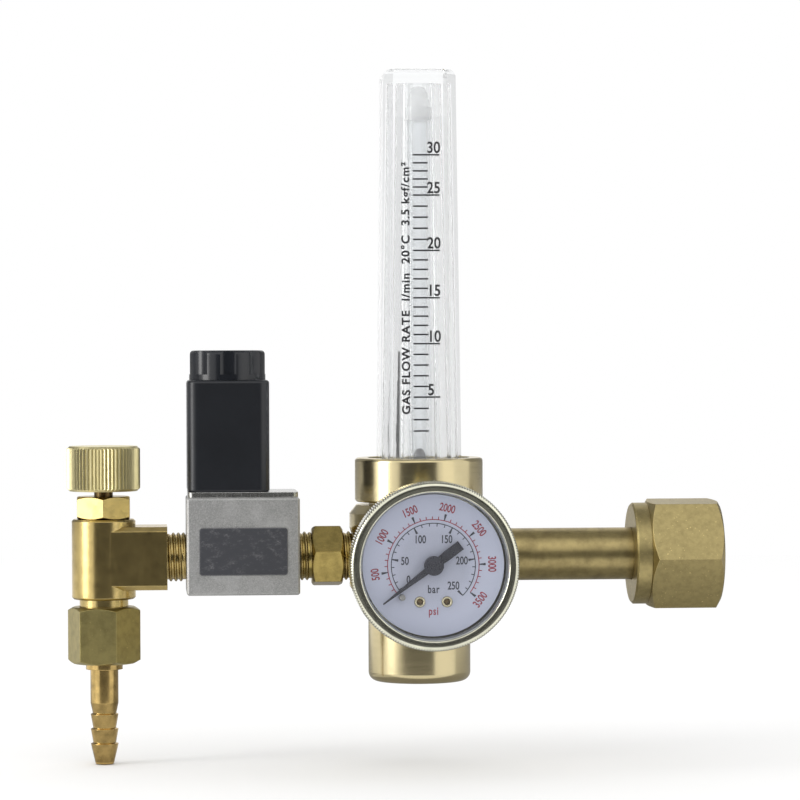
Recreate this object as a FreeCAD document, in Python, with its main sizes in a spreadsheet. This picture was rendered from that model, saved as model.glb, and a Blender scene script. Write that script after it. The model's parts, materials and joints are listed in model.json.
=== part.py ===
"""Gas flow meter regulator: a pressure regulator with a contents gauge and a float flow meter, followed by a
solenoid shut-off valve and a needle valve with a hose tail.

Millimetres, +Z up. The origin is the middle of the inlet nut's mouth, the inlet points along +X, the hose
tail points down and the gauge faces -Y. Every port lies on the X axis, so z = 0 is the port height.
"""
import FreeCAD, Part
import math
import os
import re

import Sketcher

SIZES = {
    # Fits
    "thread_gap": 0.05,
    "running_gap": 0.1,
    "spring_gap": 0.05,
    # Inlet nut and nipple
    "inlet_reach": 81,
    "nut_length": 23.6,
    "nut_collar_length": 4,
    "nut_collar_radius": 13.65,
    "nut_collar_bevel": 0.5,
    "nut_flats": 28,
    "nut_turn": 33,
    "nut_thread_radius": 9.5,
    "nut_thread_depth": 13,
    "nut_relief_depth": 1.3,
    "nut_relief_length": 4,
    "nut_play": 0.2,
    "nipple_radius": 7,
    "nipple_bore": 2.5,
    "nipple_flange_gap": 0.3,
    "nipple_flange_length": 2.4,
    "washer_gap": 0.7,
    "washer_bore": 4.2,
    "washer_length": 1.4,
    "filter_radius": 3.6,
    "filter_length": 4,
    # Ports in the regulator body
    "port_face_depth": 1.7,
    "port_face_gap": 0.8,
    "port_floor_gap": 0.1,
    "port_thread_radius": 6,
    "port_end_gap": 0.3,
    "port_drill": 2,
    "port_drill_overrun": 0.4,
    "gauge_thread_radius": 5,
    "gauge_drill": 1.2,
    # Regulator body
    "body_radius": 18.7,
    "body_drop": 10.5,
    "body_rise": 13.7,
    "body_bevel_in": 1.8,
    "body_bevel_up": 2.3,
    "neck_inset": 1.5,
    "neck_height": 1.3,
    "cover_nut_lip": 1.2,
    "boss_height": 5.3,
    "low_chamber_margin": 0.6,
    "low_chamber_depth": 1,
    "high_chamber_radius": 4.6,
    "high_chamber_top": 6.5,
    "diaphragm_seat": 7.6,
    "seat_socket_radius": 4,
    "seat_socket_depth": 4.7,
    "feed_radius": 1.2,
    "feed_wall": 0.9,
    "feed_drop": 3.5,
    "return_radius": 1.3,
    "return_gap": 0.3,
    "plug_radius": 2,
    "plug_length": 4,
    "plug_inset": 0.6,
    # Bonnet, spring and valve
    "bonnet_step": 1.8,
    "bonnet_drop": 33.7,
    "bonnet_round": 2.5,
    "bonnet_floor": 4.7,
    "spigot_wall": 1.4,
    "spigot_radius": 11.9,
    "diaphragm_thickness": 1,
    "screw_radius": 4,
    "screw_inset": 0.6,
    "screw_reach": 2.4,
    "screw_point_radius": 2.2,
    "screw_point_length": 1.2,
    "screw_socket_flats": 4,
    "screw_socket_depth": 3,
    "button_gap": 1,
    "button_thickness": 2,
    "button_boss_height": 2.4,
    "spring_boss_gap": 1.3,
    "plate_gap": 1.5,
    "plate_thickness": 2,
    "plate_boss_height": 2,
    "spring_radius": 7,
    "spring_wire": 1.1,
    "spring_pitch": 2.925,
    "nozzle_gap": 0.6,
    "nozzle_height": 2.3,
    "nozzle_lip_width": 0.4,
    "nozzle_lip_height": 0.6,
    "poppet_lift": 0.7,
    "poppet_pin_radius": 1,
    "poppet_head_radius": 3.4,
    "poppet_head_height": 2.5,
    "poppet_guide_gap": 0.45,
    "poppet_guide_height": 1.6,
    "poppet_spring_radius": 2.4,
    "poppet_spring_wire": 0.35,
    "poppet_spring_pitch": 1.55,
    # Flow meter
    "gasket_thickness": 0.8,
    "gasket_gap": 0.6,
    "gasket_return_gap": 0.6,
    "cover_nut_lift": 0.8,
    "cover_nut_wall": 2.15,
    "cover_nut_roof": 2.5,
    "cover_nut_round": 1,
    "cover_nut_bevel": 0.5,
    "cover_corner_gap": 0.47,
    "cover_flange_gap": 0.3,
    "cover_flange_height": 2.7,
    "stop_headroom": 0.6,
    "cover_foot_width": 21.7,
    "cover_taper": 1.2,
    "cover_corner": 3.1,
    "cover_round": 2.2,
    "cover_roof": 3.8,
    "foot_bore_gap": 2,
    "top_bore_gap": 1.05,
    "tube_seat_wall": 1.35,
    "tube_seat_floor": 1.7,
    "tube_seat_cup": 3.5,
    "tube_seat_foot": 3,
    "float_seat_gap": 0.35,
    "float_seat_height": 2.2,
    "float_seat_bore": 1.2,
    "tube_gasket_thickness": 0.8,
    "tube_wall": 1.1,
    "tube_length": 97.2,
    "float_side_gap": 0.25,
    "tube_bore_taper": 0.85,
    "float_radius": 2.4,
    "float_gap": 0.1,
    "stop_stem_gap": 0.3,
    "stop_stem_length": 4,
    "stop_flange_inset": 0.15,
    "stop_flange_height": 2,
    "stop_dome_inset": 0.7,
    "stop_dome_rim": 0.6,
    "stop_dome_round": 3,
    "stop_bore": 1,
    "stop_vent": 0.7,
    "guide_ring_wall": 0.5,
    "guide_ring_height": 3.4,
    "guide_ring_drop": 0.1,
    # Gauge
    "gauge_case_gap": 2,
    "dial_stand": 4.6,
    "gauge_case_radius": 20.2,
    "gauge_case_wall": 1.2,
    "gauge_case_round": 2,
    "gauge_stem_radius": 6,
    "gauge_stem_flats": 14,
    "gauge_stem_neck": 2,
    "gauge_stem_flats_length": 6,
    "gauge_stem_depth": 6,
    "tube_arm_width": 5,
    "bezel_wall": 1.5,
    "bezel_length": 7.5,
    "bezel_lip": 1.8,
    "bezel_overlap": 1.05,
    "bezel_bevel": 0.8,
    "bezel_crest": 0.3,
    "lens_thickness": 1.6,
    "lens_gasket_thickness": 0.6,
    "lens_gasket_width": 1.7,
    "dial_gap": 0.8,
    "dial_thickness": 0.6,
    "dial_depth": 3.4,
    "dial_hole": 1.5,
    "eyelet_side": 0.173,
    "eyelet_low": 0.463,
    "eyelet_flange": 0.35,
    "eyelet_rim": 0.4,
    "eyelet_shank": 1.1,
    "eyelet_wall": 0.4,
    "eyelet_length": 2,
    "stop_pin_out": 0.401,
    "stop_pin_radius": 0.75,
    "stop_pin_height": 2.4,
    "pointer_rest": 217,
    "pointer_tip_gap": 1.9,
    "pointer_tip_width": 0.3,
    "pointer_root_width": 2,
    "pointer_tail": 8.7,
    "pointer_tail_width": 2.6,
    "pointer_hub_radius": 2.5,
    "pointer_lift": 1.3,
    "pointer_thickness": 0.5,
    "pointer_hub_height": 1.4,
    "pointer_hub_roof": 0.5,
    "arbor_radius": 0.75,
    "movement_plate": 1,
    "movement_gap": 5,
    "movement_half_width": 6.5,
    "movement_clearance": 0.2,
    "movement_rise": 6,
    "pillar_radius": 1.2,
    "pillar_inset": 2,
    "post_wall": 0.85,
    "pressure_tube_gap": 3.4,
    "pressure_tube_width": 2.2,
    "pressure_tube_height": 5,
    "pressure_tube_sweep": 250,
    # Outlet adapter
    "adapter_neck": 3.7,
    "adapter_hex_length": 8.3,
    "adapter_flats": 15,
    "adapter_turn": 20,
    "adapter_bore": 2.5,
    "adapter_show": 3.5,
    # Solenoid valve
    "block_length": 30,
    "block_depth": 22,
    "block_drop": 9.75,
    "block_rise": 16.2,
    "block_bevel": 0.5,
    "block_port_depth": 9,
    "block_drill": 1.3,
    "coil_inset": 11.2,
    "valve_feed_offset": 5.5,
    "valve_chamber_radius": 7.5,
    "valve_chamber_floor": 8,
    "valve_seat_height": 1.3,
    "valve_seat_radius": 2.2,
    "valve_ledge_width": 1.1,
    "valve_flange_thickness": 1.4,
    "valve_gasket_thickness": 0.6,
    "base_plate_thickness": 1.4,
    "base_plate_inset": 0.4,
    "base_plate_corner": 1.5,
    "coil_width": 21.8,
    "coil_depth": 21.5,
    "coil_height": 29.75,
    "coil_corner": 3,
    "coil_top_round": 0.9,
    "coil_foot_round": 0.7,
    "bobbin_wall": 1.3,
    "coil_wall": 1.25,
    "coil_roof": 3.1,
    "connector_width": 18,
    "connector_height": 20,
    "connector_depth": 1.8,
    "blade_width": 5,
    "blade_thickness": 0.8,
    "blade_length": 8,
    "blade_spacing": 10,
    "earth_drop": 6.5,
    "armature_tube_radius": 5,
    "armature_wall": 0.7,
    "armature_roof": 2,
    "armature_stud_radius": 3.9,
    "armature_stud_length": 5.8,
    "core_length": 11,
    "spring_pocket_gap": 0.3,
    "core_pocket_depth": 3,
    "plunger_stroke": 1.8,
    "plunger_pocket_depth": 6,
    "plunger_spring_radius": 1.6,
    "plunger_spring_wire": 0.3,
    "plunger_spring_pitch": 1.68,
    "seal_radius": 2.6,
    "seal_socket": 1.5,
    "seal_show": 1.6,
    "coil_nut_radius": 10.2,
    "coil_nut_end_gap": 0.6,
    "coil_nut_round": 1.2,
    "coil_nut_flutes": 8,
    "coil_nut_flute_radius": 5,
    "coil_nut_flute_depth": 0.7,
    "coil_nut_flute_start": 1.5,
    "coil_nut_roof": 1.5,
    # Needle valve and hose tail
    "shank_show": 5.1,
    "arm_reach": 16.9,
    "arm_depth": 16.5,
    "arm_height": 16.8,
    "arm_bevel": 1.2,
    "needle_body_radius": 8.5,
    "needle_body_rise": 10.3,
    "needle_body_drop": 11,
    "needle_body_bevel": 0.5,
    "needle_thread_radius": 6.5,
    "needle_thread_length": 11,
    "needle_inlet_bore": 2.2,
    "gland_socket_radius": 4.9,
    "packing_height": 2.2,
    "gland_reach": 5.5,
    "gland_flats": 14,
    "gland_turn": 30,
    "gland_height": 6.1,
    "stem_gap": 0.25,
    "needle_seat_drop": 4,
    "needle_seat_bore": 1.5,
    "needle_seat_length": 4,
    "needle_outlet_bore": 3,
    "stem_radius": 2.5,
    "needle_taper_start": 1,
    "needle_mid_radius": 1.35,
    "needle_mid_drop": 3,
    "needle_tip_radius": 0.5,
    "needle_tip_drop": 5.2,
    "knob_gap": 1.4,
    "knob_radius": 9.8,
    "knob_height": 12,
    "knob_roof": 1.8,
    "knob_bevel": 0.8,
    "knob_flutes": 60,
    "knob_flute_depth": 0.42,
    "union_gap": 2.1,
    "union_flats": 17,
    "union_turn": 49.7,
    "union_floor": 3.6,
    "union_gasket_thickness": 0.6,
    "barb_flange_gap": 0.15,
    "barb_flange_length": 2,
    "barb_collar_radius": 4.9,
    "barb_collar_show": 1.6,
    "barb_bore": 1.7,
    "barb_tail_radius": 3.72,
    "barb_tail_length": 9,
    "barb_waist_radius": 3.15,
    "barb_waist_length": 2.7,
    "barb_crest_radius": 3.7,
    "barb_root_radius": 3.05,
    "barb_rings": 3,
    "barb_pitch": 3.95,
    "barb_step": 0.3,
    "barb_tip_radius": 2.45,
    "barb_tip_length": 5.4,
}
# Sizes that follow the ones above, each worked out by its cell
FOLLOWING = {
    "nut_relief_radius": "nut_thread_radius + nut_relief_depth",
    "nipple_flange_radius": "nut_thread_radius - nipple_flange_gap",
    "washer_radius": "nut_thread_radius - washer_gap",
    "port_face": "body_radius - port_face_depth",
    "port_face_radius": "nipple_radius + port_face_gap",
    "seat_socket_floor": "body_rise - seat_socket_depth",
    "feed_offset": "high_chamber_radius + feed_wall + feed_radius",
    "feed_height": "body_rise - feed_drop",
    "bonnet_radius": "spigot_radius + bonnet_step",
    "bonnet_bore": "spigot_radius - spigot_wall",
    "button_radius": "bonnet_bore - button_gap",
    "spring_boss_radius": "spring_radius - spring_wire - spring_boss_gap",
    "plate_radius": "bonnet_bore - plate_gap",
    "nozzle_bore": "poppet_pin_radius + nozzle_gap",
    "nozzle_lip_radius": "nozzle_bore + nozzle_lip_width",
    "poppet_guide_radius": "poppet_spring_radius - poppet_spring_wire - poppet_guide_gap",
    "cover_nut_hole": (
        "sqrt((cover_foot_width / 2)^2 + (cover_foot_width / 2"
        " - cover_corner)^2) + cover_corner_gap"
    ),
    "tube_foot_bore": "float_radius + float_side_gap",
    "tube_top_bore": "tube_foot_bore + tube_bore_taper",
    "stop_stem_radius": "tube_top_bore - stop_stem_gap",
    "stop_dome_height": "stop_dome_rim + stop_dome_round",
    "gauge_stem_flats_start": "port_face + gauge_stem_neck",
    "gauge_case_back": "gauge_stem_flats_start + gauge_stem_flats_length + gauge_case_gap",
    "bezel_radius": "gauge_case_radius + thread_gap + bezel_wall",
    "bezel_opening": "gauge_case_radius - bezel_overlap",
    "lens_gasket_bore": "gauge_case_radius - lens_gasket_width",
    "dial_radius": "gauge_case_radius - gauge_case_wall - dial_gap",
    "pointer_tip": "dial_radius - pointer_tip_gap",
    "eyelet_x": "gauge_case_radius * eyelet_side",
    "eyelet_y": "-gauge_case_radius * eyelet_low",
    "stop_pin_x": "-gauge_case_radius * stop_pin_out",
    "stop_pin_y": "-gauge_case_radius * stop_pin_out",
    "eyelet_radius": "eyelet_shank + eyelet_flange",
    "eyelet_bore": "eyelet_shank - eyelet_wall",
    "post_radius": "eyelet_shank + thread_gap + post_wall",
    "pressure_tube_radius": (
        "gauge_case_radius - gauge_case_wall - pressure_tube_gap"
        " - pressure_tube_width / 2"
    ),
    "movement_drop": (
        "sqrt((pressure_tube_radius - pressure_tube_width / 2"
        " - movement_clearance)^2 - movement_half_width^2)"
    ),
    "adapter_stand": "port_face + adapter_neck",
    "valve_flange_radius": "valve_chamber_radius + valve_ledge_width",
    "winding_bore": "armature_tube_radius + bobbin_wall",
    "winding_radius": "coil_depth / 2 - coil_wall",
    "winding_height": "coil_height - coil_roof",
    "armature_bore": "armature_tube_radius - armature_wall",
    "spring_pocket_radius": "plunger_spring_radius + plunger_spring_wire + spring_pocket_gap",
    "coil_nut_height": "armature_stud_length + coil_nut_end_gap + coil_nut_roof",
    "gland_socket_depth": "gland_reach + packing_height",
    "stem_chamber_radius": "stem_radius + stem_gap",
    "barb_flange_radius": "needle_thread_radius - barb_flange_gap",
    "union_hole": "barb_collar_radius + running_gap",
    "boss_radius": "cover_nut_hole + cover_nut_lip",
    "low_chamber_radius": "feed_offset + feed_radius + low_chamber_margin",
    "gasket_radius": "boss_radius - gasket_gap",
    "cover_nut_radius": "boss_radius + thread_gap + cover_nut_wall",
    "cover_flange_radius": "boss_radius - cover_flange_gap",
    "float_seat_radius": "tube_foot_bore - float_seat_gap",
    "tube_radius": "tube_top_bore + tube_wall",
    "stop_flange_radius": "tube_radius - stop_flange_inset",
    "stop_dome_radius": "stop_flange_radius - stop_dome_inset",
    "guide_ring_radius": "tube_radius + thread_gap + guide_ring_wall",
    "neck_radius": "boss_radius - neck_inset",
    "cover_top_bore": "guide_ring_radius + top_bore_gap",
    "tube_seat_radius": "tube_radius + thread_gap + tube_seat_wall",
    "return_offset": "tube_seat_radius + return_gap + return_radius",
    "gasket_bore": "return_offset + return_radius + gasket_return_gap",
    "cover_foot_bore": "tube_seat_radius + foot_bore_gap",
    "port_floor": "return_offset + return_radius + port_floor_gap",
}
CELLS = {**SIZES, **{alias: f"={formula}" for alias, formula in FOLLOWING.items()}}
# A nut's bevels run from just inside its flats to just past its corners, as shares of the width across flats
BEVEL_INNER = 0.48
BEVEL_OUTER = 0.62
CUT_KINDS = ("Groove", "Pocket", "Subtractive")
SMALLEST_CUT = 1e-3
SAME_PLACE = 1e-4

X_AXIS = FreeCAD.Vector(1, 0, 0)
Y_AXIS = FreeCAD.Vector(0, 1, 0)
Z_AXIS = FreeCAD.Vector(0, 0, 1)
# Each turn takes a piece's own Z axis to the named direction
UPRIGHT = FreeCAD.Rotation()
ALONG_X = FreeCAD.Rotation(Y_AXIS, 90)
ALONG_MINUS_X = FreeCAD.Rotation(Y_AXIS, -90)
ALONG_Y = FreeCAD.Rotation(X_AXIS, -90)
FACING_FRONT = FreeCAD.Rotation(X_AXIS, 90)

doc = FreeCAD.newDocument("GasFlowMeterRegulator")
dims = doc.addObject("Spreadsheet::Sheet", "Dims")
for row, (alias, size) in enumerate(CELLS.items(), start=1):
    dims.set(f"A{row}", alias)
    dims.set(f"B{row}", str(size))
    dims.setAlias(f"B{row}", alias)
doc.recompute()
pieces = []


def ref(text):
    """The expression with each size's name turned into its spreadsheet cell."""
    return re.sub(r"[a-z_]+", lambda word: f"Dims.{word[0]}" if word[0] in CELLS else word[0], text)


def value(text):
    """The number that an expression comes to now."""
    return float(dims.evalExpression(ref(text)))


def bind(feature, **expressions):
    for name, text in expressions.items():
        feature.setExpression(name, ref(text))


def new_body(label, turn=UPRIGHT, x="0", y="0", z="0"):
    body = doc.addObject("PartDesign::Body", label)
    body.Label = label
    body.Placement = FreeCAD.Placement(FreeCAD.Vector(), turn)
    for axis, text in zip("xyz", (x, y, z)):
        if text != "0":
            body.setExpression(f"Placement.Base.{axis}", ref(text))
    pieces.append(body)
    return body


def attach(feature, body, role="XY_Plane", x="0", y="0", z="0", turn=UPRIGHT, spin="0"):
    """Hangs a feature on one of its body's own planes, moved and turned from there."""
    feature.AttachmentSupport = [(next(f for f in body.Origin.OriginFeatures if f.Role == role), "")]
    feature.MapMode = "FlatFace"
    feature.AttachmentOffset = FreeCAD.Placement(FreeCAD.Vector(), turn)
    for axis, text in zip("xyz", (x, y, z)):
        if text != "0":
            feature.setExpression(f"AttachmentOffset.Base.{axis}", ref(text))
    if spin != "0":
        feature.AttachmentOffset = FreeCAD.Placement(FreeCAD.Vector(), FreeCAD.Rotation(Z_AXIS, value(spin)))
        feature.setExpression("AttachmentOffset.Rotation.Angle", ref(spin))


def draw(body, points, role="XZ_Plane", lift="0", spin="0"):
    """A closed outline through points given as pairs of expressions."""
    sketch = body.newObject("Sketcher::SketchObject", "Outline")
    attach(sketch, body, role, z=lift, spin=spin)
    places = [FreeCAD.Vector(value(across), value(along), 0) for across, along in points]
    sketch.addGeometry([Part.LineSegment(places[i - 1], places[i]) for i in range(len(points))])
    for i in range(len(points)):
        sketch.addConstraint(Sketcher.Constraint("Coincident", i, 1, (i - 1) % len(points), 2))
    for i, (across, along) in enumerate(points):
        sideways = ("DistanceX", -2, across, places[i].x)
        upwards = ("DistanceY", -1, along, places[i].y)
        for kind, axis, text, now in (sideways, upwards):
            if text == "0":
                sketch.addConstraint(Sketcher.Constraint("PointOnObject", i, 2, axis))
            else:
                number = sketch.addConstraint(Sketcher.Constraint(kind, -1, 1, i, 2, now))
                sketch.setExpression(f"Constraints[{number}]", ref(text))
    return sketch


def revolve(body, points, kind="Revolution", role="XZ_Plane", sweep="360"):
    """Turns an outline, given as radius and height, about the body's Z axis."""
    sketch = draw(body, points, role)
    feature = body.newObject(f"PartDesign::{kind}", kind)
    feature.Profile = (sketch, [""])
    feature.ReferenceAxis = (sketch, ["V_Axis"])
    bind(feature, Angle=sweep)
    return feature


def turned(label, points, turn=UPRIGHT, x="0", y="0", z="0"):
    body = new_body(label, turn, x, y, z)
    revolve(body, points)
    return body


def groove(body, points):
    return revolve(body, points, "Groove")


def pad(body, points, length, role="XY_Plane", lift="0", spin="0"):
    sketch = draw(body, points, role, lift, spin)
    feature = body.newObject("PartDesign::Pad", "Pad")
    feature.Profile = (sketch, [""])
    bind(feature, Length=length)
    return feature


def primitive(body, kind, x="0", y="0", z="0", turn=UPRIGHT, spin="0", **sizes):
    feature = body.newObject(f"PartDesign::{kind}", kind)
    attach(feature, body, x=x, y=y, z=z, turn=turn, spin=spin)
    bind(feature, **sizes)
    return feature


def drill(body, radius, length, x="0", y="0", z="0", turn=UPRIGHT):
    return primitive(body, "SubtractiveCylinder", x, y, z, turn, Radius=radius, Height=length)


def rod(body, radius, length, x="0", y="0", z="0", turn=UPRIGHT):
    return primitive(body, "AdditiveCylinder", x, y, z, turn, Radius=radius, Height=length)


def bar(body, length, width, height, x="0", y="0", z="0"):
    return primitive(body, "AdditiveBox", x, y, z, Length=length, Width=width, Height=height)


def hexagon(body, flats, start, length, spin, kind="AdditivePrism"):
    feature = primitive(body, kind, z=start, spin=spin, Circumradius=f"{flats} / 2 / cos(30)", Height=length)
    feature.Polygon = 6
    return feature


def hex_bevels(body, flats, start, length):
    """The turned 30 degree bevels that cut back a hexagon's corners at both ends."""
    inner = f"{flats} * {BEVEL_INNER}"
    outer = f"{flats} * {BEVEL_OUTER}"
    rise = f"({outer} - {inner}) * tan(30)"
    end = f"{start} + {length}"
    groove(body, [(inner, start), (outer, start), (outer, f"{start} + {rise}")])
    groove(body, [(inner, end), (outer, f"{end} - {rise}"), (outer, end)])


def around(body, feature, count):
    """Repeats a feature evenly about the body's Z axis."""
    pattern = body.newObject("PartDesign::PolarPattern", "PolarPattern")
    pattern.Originals = [feature]
    pattern.Axis = (next(f for f in body.Origin.OriginFeatures if f.Role == "Z_Axis"), [""])
    pattern.Angle = 360
    bind(pattern, Occurrences=count)
    body.Tip = pattern
    return pattern


def soften(body, kind, size, chosen):
    """A Fillet or Chamfer on the edges of the body so far for which chosen is true."""
    doc.recompute()
    base = body.Tip
    names = [f"Edge{i}" for i, edge in enumerate(base.Shape.Edges, start=1) if chosen(edge)]
    feature = body.newObject(f"PartDesign::{kind}", kind)
    feature.Base = (base, names)
    bind(feature, **{"Radius" if kind == "Fillet" else "Size": size})
    return feature


def near(one, other):
    return math.isclose(one, other, abs_tol=SAME_PLACE)


def ring_edge(radius, height):
    """Chooses the full circle of this radius at this height."""
    def chosen(edge):
        return level_edge(height)(edge) and near(edge.BoundBox.XMax, value(radius))
    return chosen


def level_edge(height):
    """Chooses every edge that lies at this height."""
    return lambda edge: near(edge.BoundBox.ZMin, value(height)) and near(edge.BoundBox.ZMax, value(height))


def upright_edge(edge):
    """Chooses straight edges that run along Z."""
    box = edge.BoundBox
    return near(box.XLength, 0) and near(box.YLength, 0)


def coil_spring(label, radius, wire, pitch, start, end, x="0"):
    """A round wire wound between two seats, a hair clear of both."""
    body = new_body(label, x=x)
    sketch = body.newObject("Sketcher::SketchObject", "Wire")
    attach(sketch, body, "XZ_Plane")
    first = f"{start} + {wire} + spring_gap"
    centre = FreeCAD.Vector(value(radius), value(first), 0)
    sketch.addGeometry(Part.Circle(centre, Z_AXIS, value(wire)))
    for kind, now, text in (("DistanceX", centre.x, radius), ("DistanceY", centre.y, first)):
        number = sketch.addConstraint(Sketcher.Constraint(kind, -1, 1, 0, 3, now))
        sketch.setExpression(f"Constraints[{number}]", ref(text))
    number = sketch.addConstraint(Sketcher.Constraint("Radius", 0, value(wire)))
    sketch.setExpression(f"Constraints[{number}]", ref(wire))
    helix = body.newObject("PartDesign::AdditiveHelix", "Winding")
    helix.Profile = (sketch, [""])
    helix.ReferenceAxis = (sketch, ["V_Axis"])
    helix.Mode = "pitch-height-angle"
    bind(helix, Pitch=pitch, Height=f"{end} - ({start}) - 2 * ({wire} + spring_gap)")
    return body


# Heights and places that several pieces share
AXIS_X = "-inlet_reach"
NIPPLE_SEAT = "-(nut_thread_depth + nut_relief_length)"
NIPPLE_FRONT = f"({NIPPLE_SEAT} + nut_play + nipple_flange_length)"
BOSS_BOTTOM = "(body_rise + neck_height)"
BOSS_TOP = "(body_rise + neck_height + boss_height)"
DIAPHRAGM_BOTTOM = "(-diaphragm_seat - diaphragm_thickness)"
PLATE_BOTTOM = f"({DIAPHRAGM_BOTTOM} - plate_thickness)"
NOZZLE_BOTTOM = "(-diaphragm_seat + low_chamber_depth)"
NOZZLE_TOP = f"({NOZZLE_BOTTOM} + nozzle_height)"
POPPET_HEAD = f"({NOZZLE_TOP} + nozzle_lip_height + poppet_lift)"
BONNET_FLOOR = "(-bonnet_drop + bonnet_floor)"
BUTTON_BOTTOM = f"({BONNET_FLOOR} + screw_reach)"
BUTTON_TOP = f"({BUTTON_BOTTOM} + button_thickness)"
COVER_BOTTOM = f"({BOSS_TOP} + gasket_thickness)"
COVER_FLANGE_TOP = f"({COVER_BOTTOM} + cover_flange_height)"
COVER_NUT_BOTTOM = "(body_rise + cover_nut_lift)"
COVER_NUT_TOP = f"({COVER_FLANGE_TOP} + cover_nut_roof)"
CUP_FLOOR = f"({BOSS_TOP} + tube_seat_floor)"
FLOAT_SEAT = f"({CUP_FLOOR} + float_seat_height)"
TUBE_BOTTOM = f"({CUP_FLOOR} + tube_gasket_thickness)"
TUBE_TOP = f"({TUBE_BOTTOM} + tube_length)"
STOP_FLANGE_TOP = f"({TUBE_TOP} + stop_flange_height)"
STOP_TOP = f"({STOP_FLANGE_TOP} + stop_dome_height)"
CAVITY_TOP = f"({STOP_TOP} + stop_headroom)"
COVER_TOP = f"({CAVITY_TOP} + cover_roof)"
STEM_FRONT = "(gauge_case_back + gauge_stem_depth)"
MOVEMENT_TOP = f"({STEM_FRONT} + 2 * movement_plate + movement_gap)"
DIAL_BACK = f"({MOVEMENT_TOP} + dial_stand)"
DIAL_FACE = f"({DIAL_BACK} + dial_thickness)"
CASE_FRONT = f"({DIAL_BACK} + dial_depth)"
LENS_BACK = f"({CASE_FRONT} + lens_gasket_thickness)"
LENS_FRONT = f"({LENS_BACK} + lens_thickness)"
BLOCK_FACE = "(adapter_stand + adapter_hex_length + adapter_show)"
COIL_X = f"(-inlet_reach - {BLOCK_FACE} - block_length + coil_inset)"
BLOCK_RIGHT = "(block_length - coil_inset)"
VALVE_SEAT = "(valve_chamber_floor + valve_seat_height)"
FLANGE_TOP = "block_rise"
FLANGE_BOTTOM = "(block_rise - valve_flange_thickness)"
VALVE_LEDGE = f"({FLANGE_BOTTOM} - valve_gasket_thickness)"
COIL_BOTTOM = "(block_rise + base_plate_thickness)"
COIL_TOP = f"({COIL_BOTTOM} + coil_height)"
CORE_TOP = f"({COIL_TOP} - armature_roof)"
CORE_BOTTOM = f"({CORE_TOP} - core_length)"
PLUNGER_TOP = f"({CORE_BOTTOM} - plunger_stroke)"
PLUNGER_BOTTOM = f"({VALVE_SEAT} + running_gap + seal_show)"
NEEDLE_X = f"(-inlet_reach - {BLOCK_FACE} - block_length - shank_show - arm_reach)"
NEEDLE_END = "(-needle_body_drop - needle_thread_length)"
PACKING_BOTTOM = "(needle_body_rise - gland_socket_depth)"
GLAND_BOTTOM = "(needle_body_rise - gland_reach)"
KNOB_BOTTOM = "(needle_body_rise + gland_height + knob_gap)"
KNOB_TOP = f"({KNOB_BOTTOM} + knob_height)"
UNION_TOP = "(-needle_body_drop - union_gap)"
BARB_TOP = f"({NEEDLE_END} - union_gasket_thickness)"
BARB_LEDGE = f"({BARB_TOP} - barb_flange_length)"
UNION_BOTTOM = f"({BARB_LEDGE} - union_floor)"
UNION_HEIGHT = f"({UNION_TOP} - {UNION_BOTTOM})"
BARB_TAIL = f"({UNION_BOTTOM} - barb_collar_show)"
BARB_WAIST = f"({BARB_TAIL} - barb_tail_length - barb_waist_length)"


# Inlet
def inlet_nut():
    body = new_body("inlet_nut", ALONG_X)
    start = "-(nut_length - nut_collar_length)"
    length = "(nut_length - nut_collar_length)"
    hexagon(body, "nut_flats", start, length, "nut_turn")
    hex_bevels(body, "nut_flats", start, length)
    revolve(body, [
        ("0", "-nut_length"),
        ("nut_collar_radius - nut_collar_bevel", "-nut_length"),
        ("nut_collar_radius", "-nut_length + nut_collar_bevel"),
        ("nut_collar_radius", start),
        ("0", start),
    ])
    groove(body, [
        ("0", "0"),
        ("nut_thread_radius", "0"),
        ("nut_thread_radius", "-nut_thread_depth"),
        ("nut_relief_radius", "-nut_thread_depth"),
        ("nut_relief_radius", NIPPLE_SEAT),
        ("nipple_radius + running_gap", NIPPLE_SEAT),
        ("nipple_radius + running_gap", "-nut_length"),
        ("0", "-nut_length"),
    ])


def inlet_nipple():
    face = "-inlet_reach + port_face"
    tail = "-inlet_reach + port_floor + port_end_gap"
    seat = f"{NIPPLE_SEAT} + nut_play"
    turned("inlet_nipple", [
        ("nipple_bore", tail),
        ("port_thread_radius", tail),
        ("port_thread_radius", face),
        ("nipple_radius", face),
        ("nipple_radius", seat),
        ("nipple_flange_radius", seat),
        ("nipple_flange_radius", NIPPLE_FRONT),
        ("filter_radius + thread_gap", NIPPLE_FRONT),
        ("filter_radius + thread_gap", f"{NIPPLE_FRONT} - filter_length"),
        ("nipple_bore", f"{NIPPLE_FRONT} - filter_length"),
    ], ALONG_X)
    washer_front = f"{NIPPLE_FRONT} + washer_length"
    turned("inlet_washer", [
        ("washer_bore", NIPPLE_FRONT),
        ("washer_radius", NIPPLE_FRONT),
        ("washer_radius", washer_front),
        ("washer_bore", washer_front),
    ], ALONG_X)
    filter_back = f"{NIPPLE_FRONT} - filter_length"
    turned("inlet_filter", [
        ("0", filter_back),
        ("filter_radius", filter_back),
        ("filter_radius", NIPPLE_FRONT),
        ("0", NIPPLE_FRONT),
    ], ALONG_X)


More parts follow.
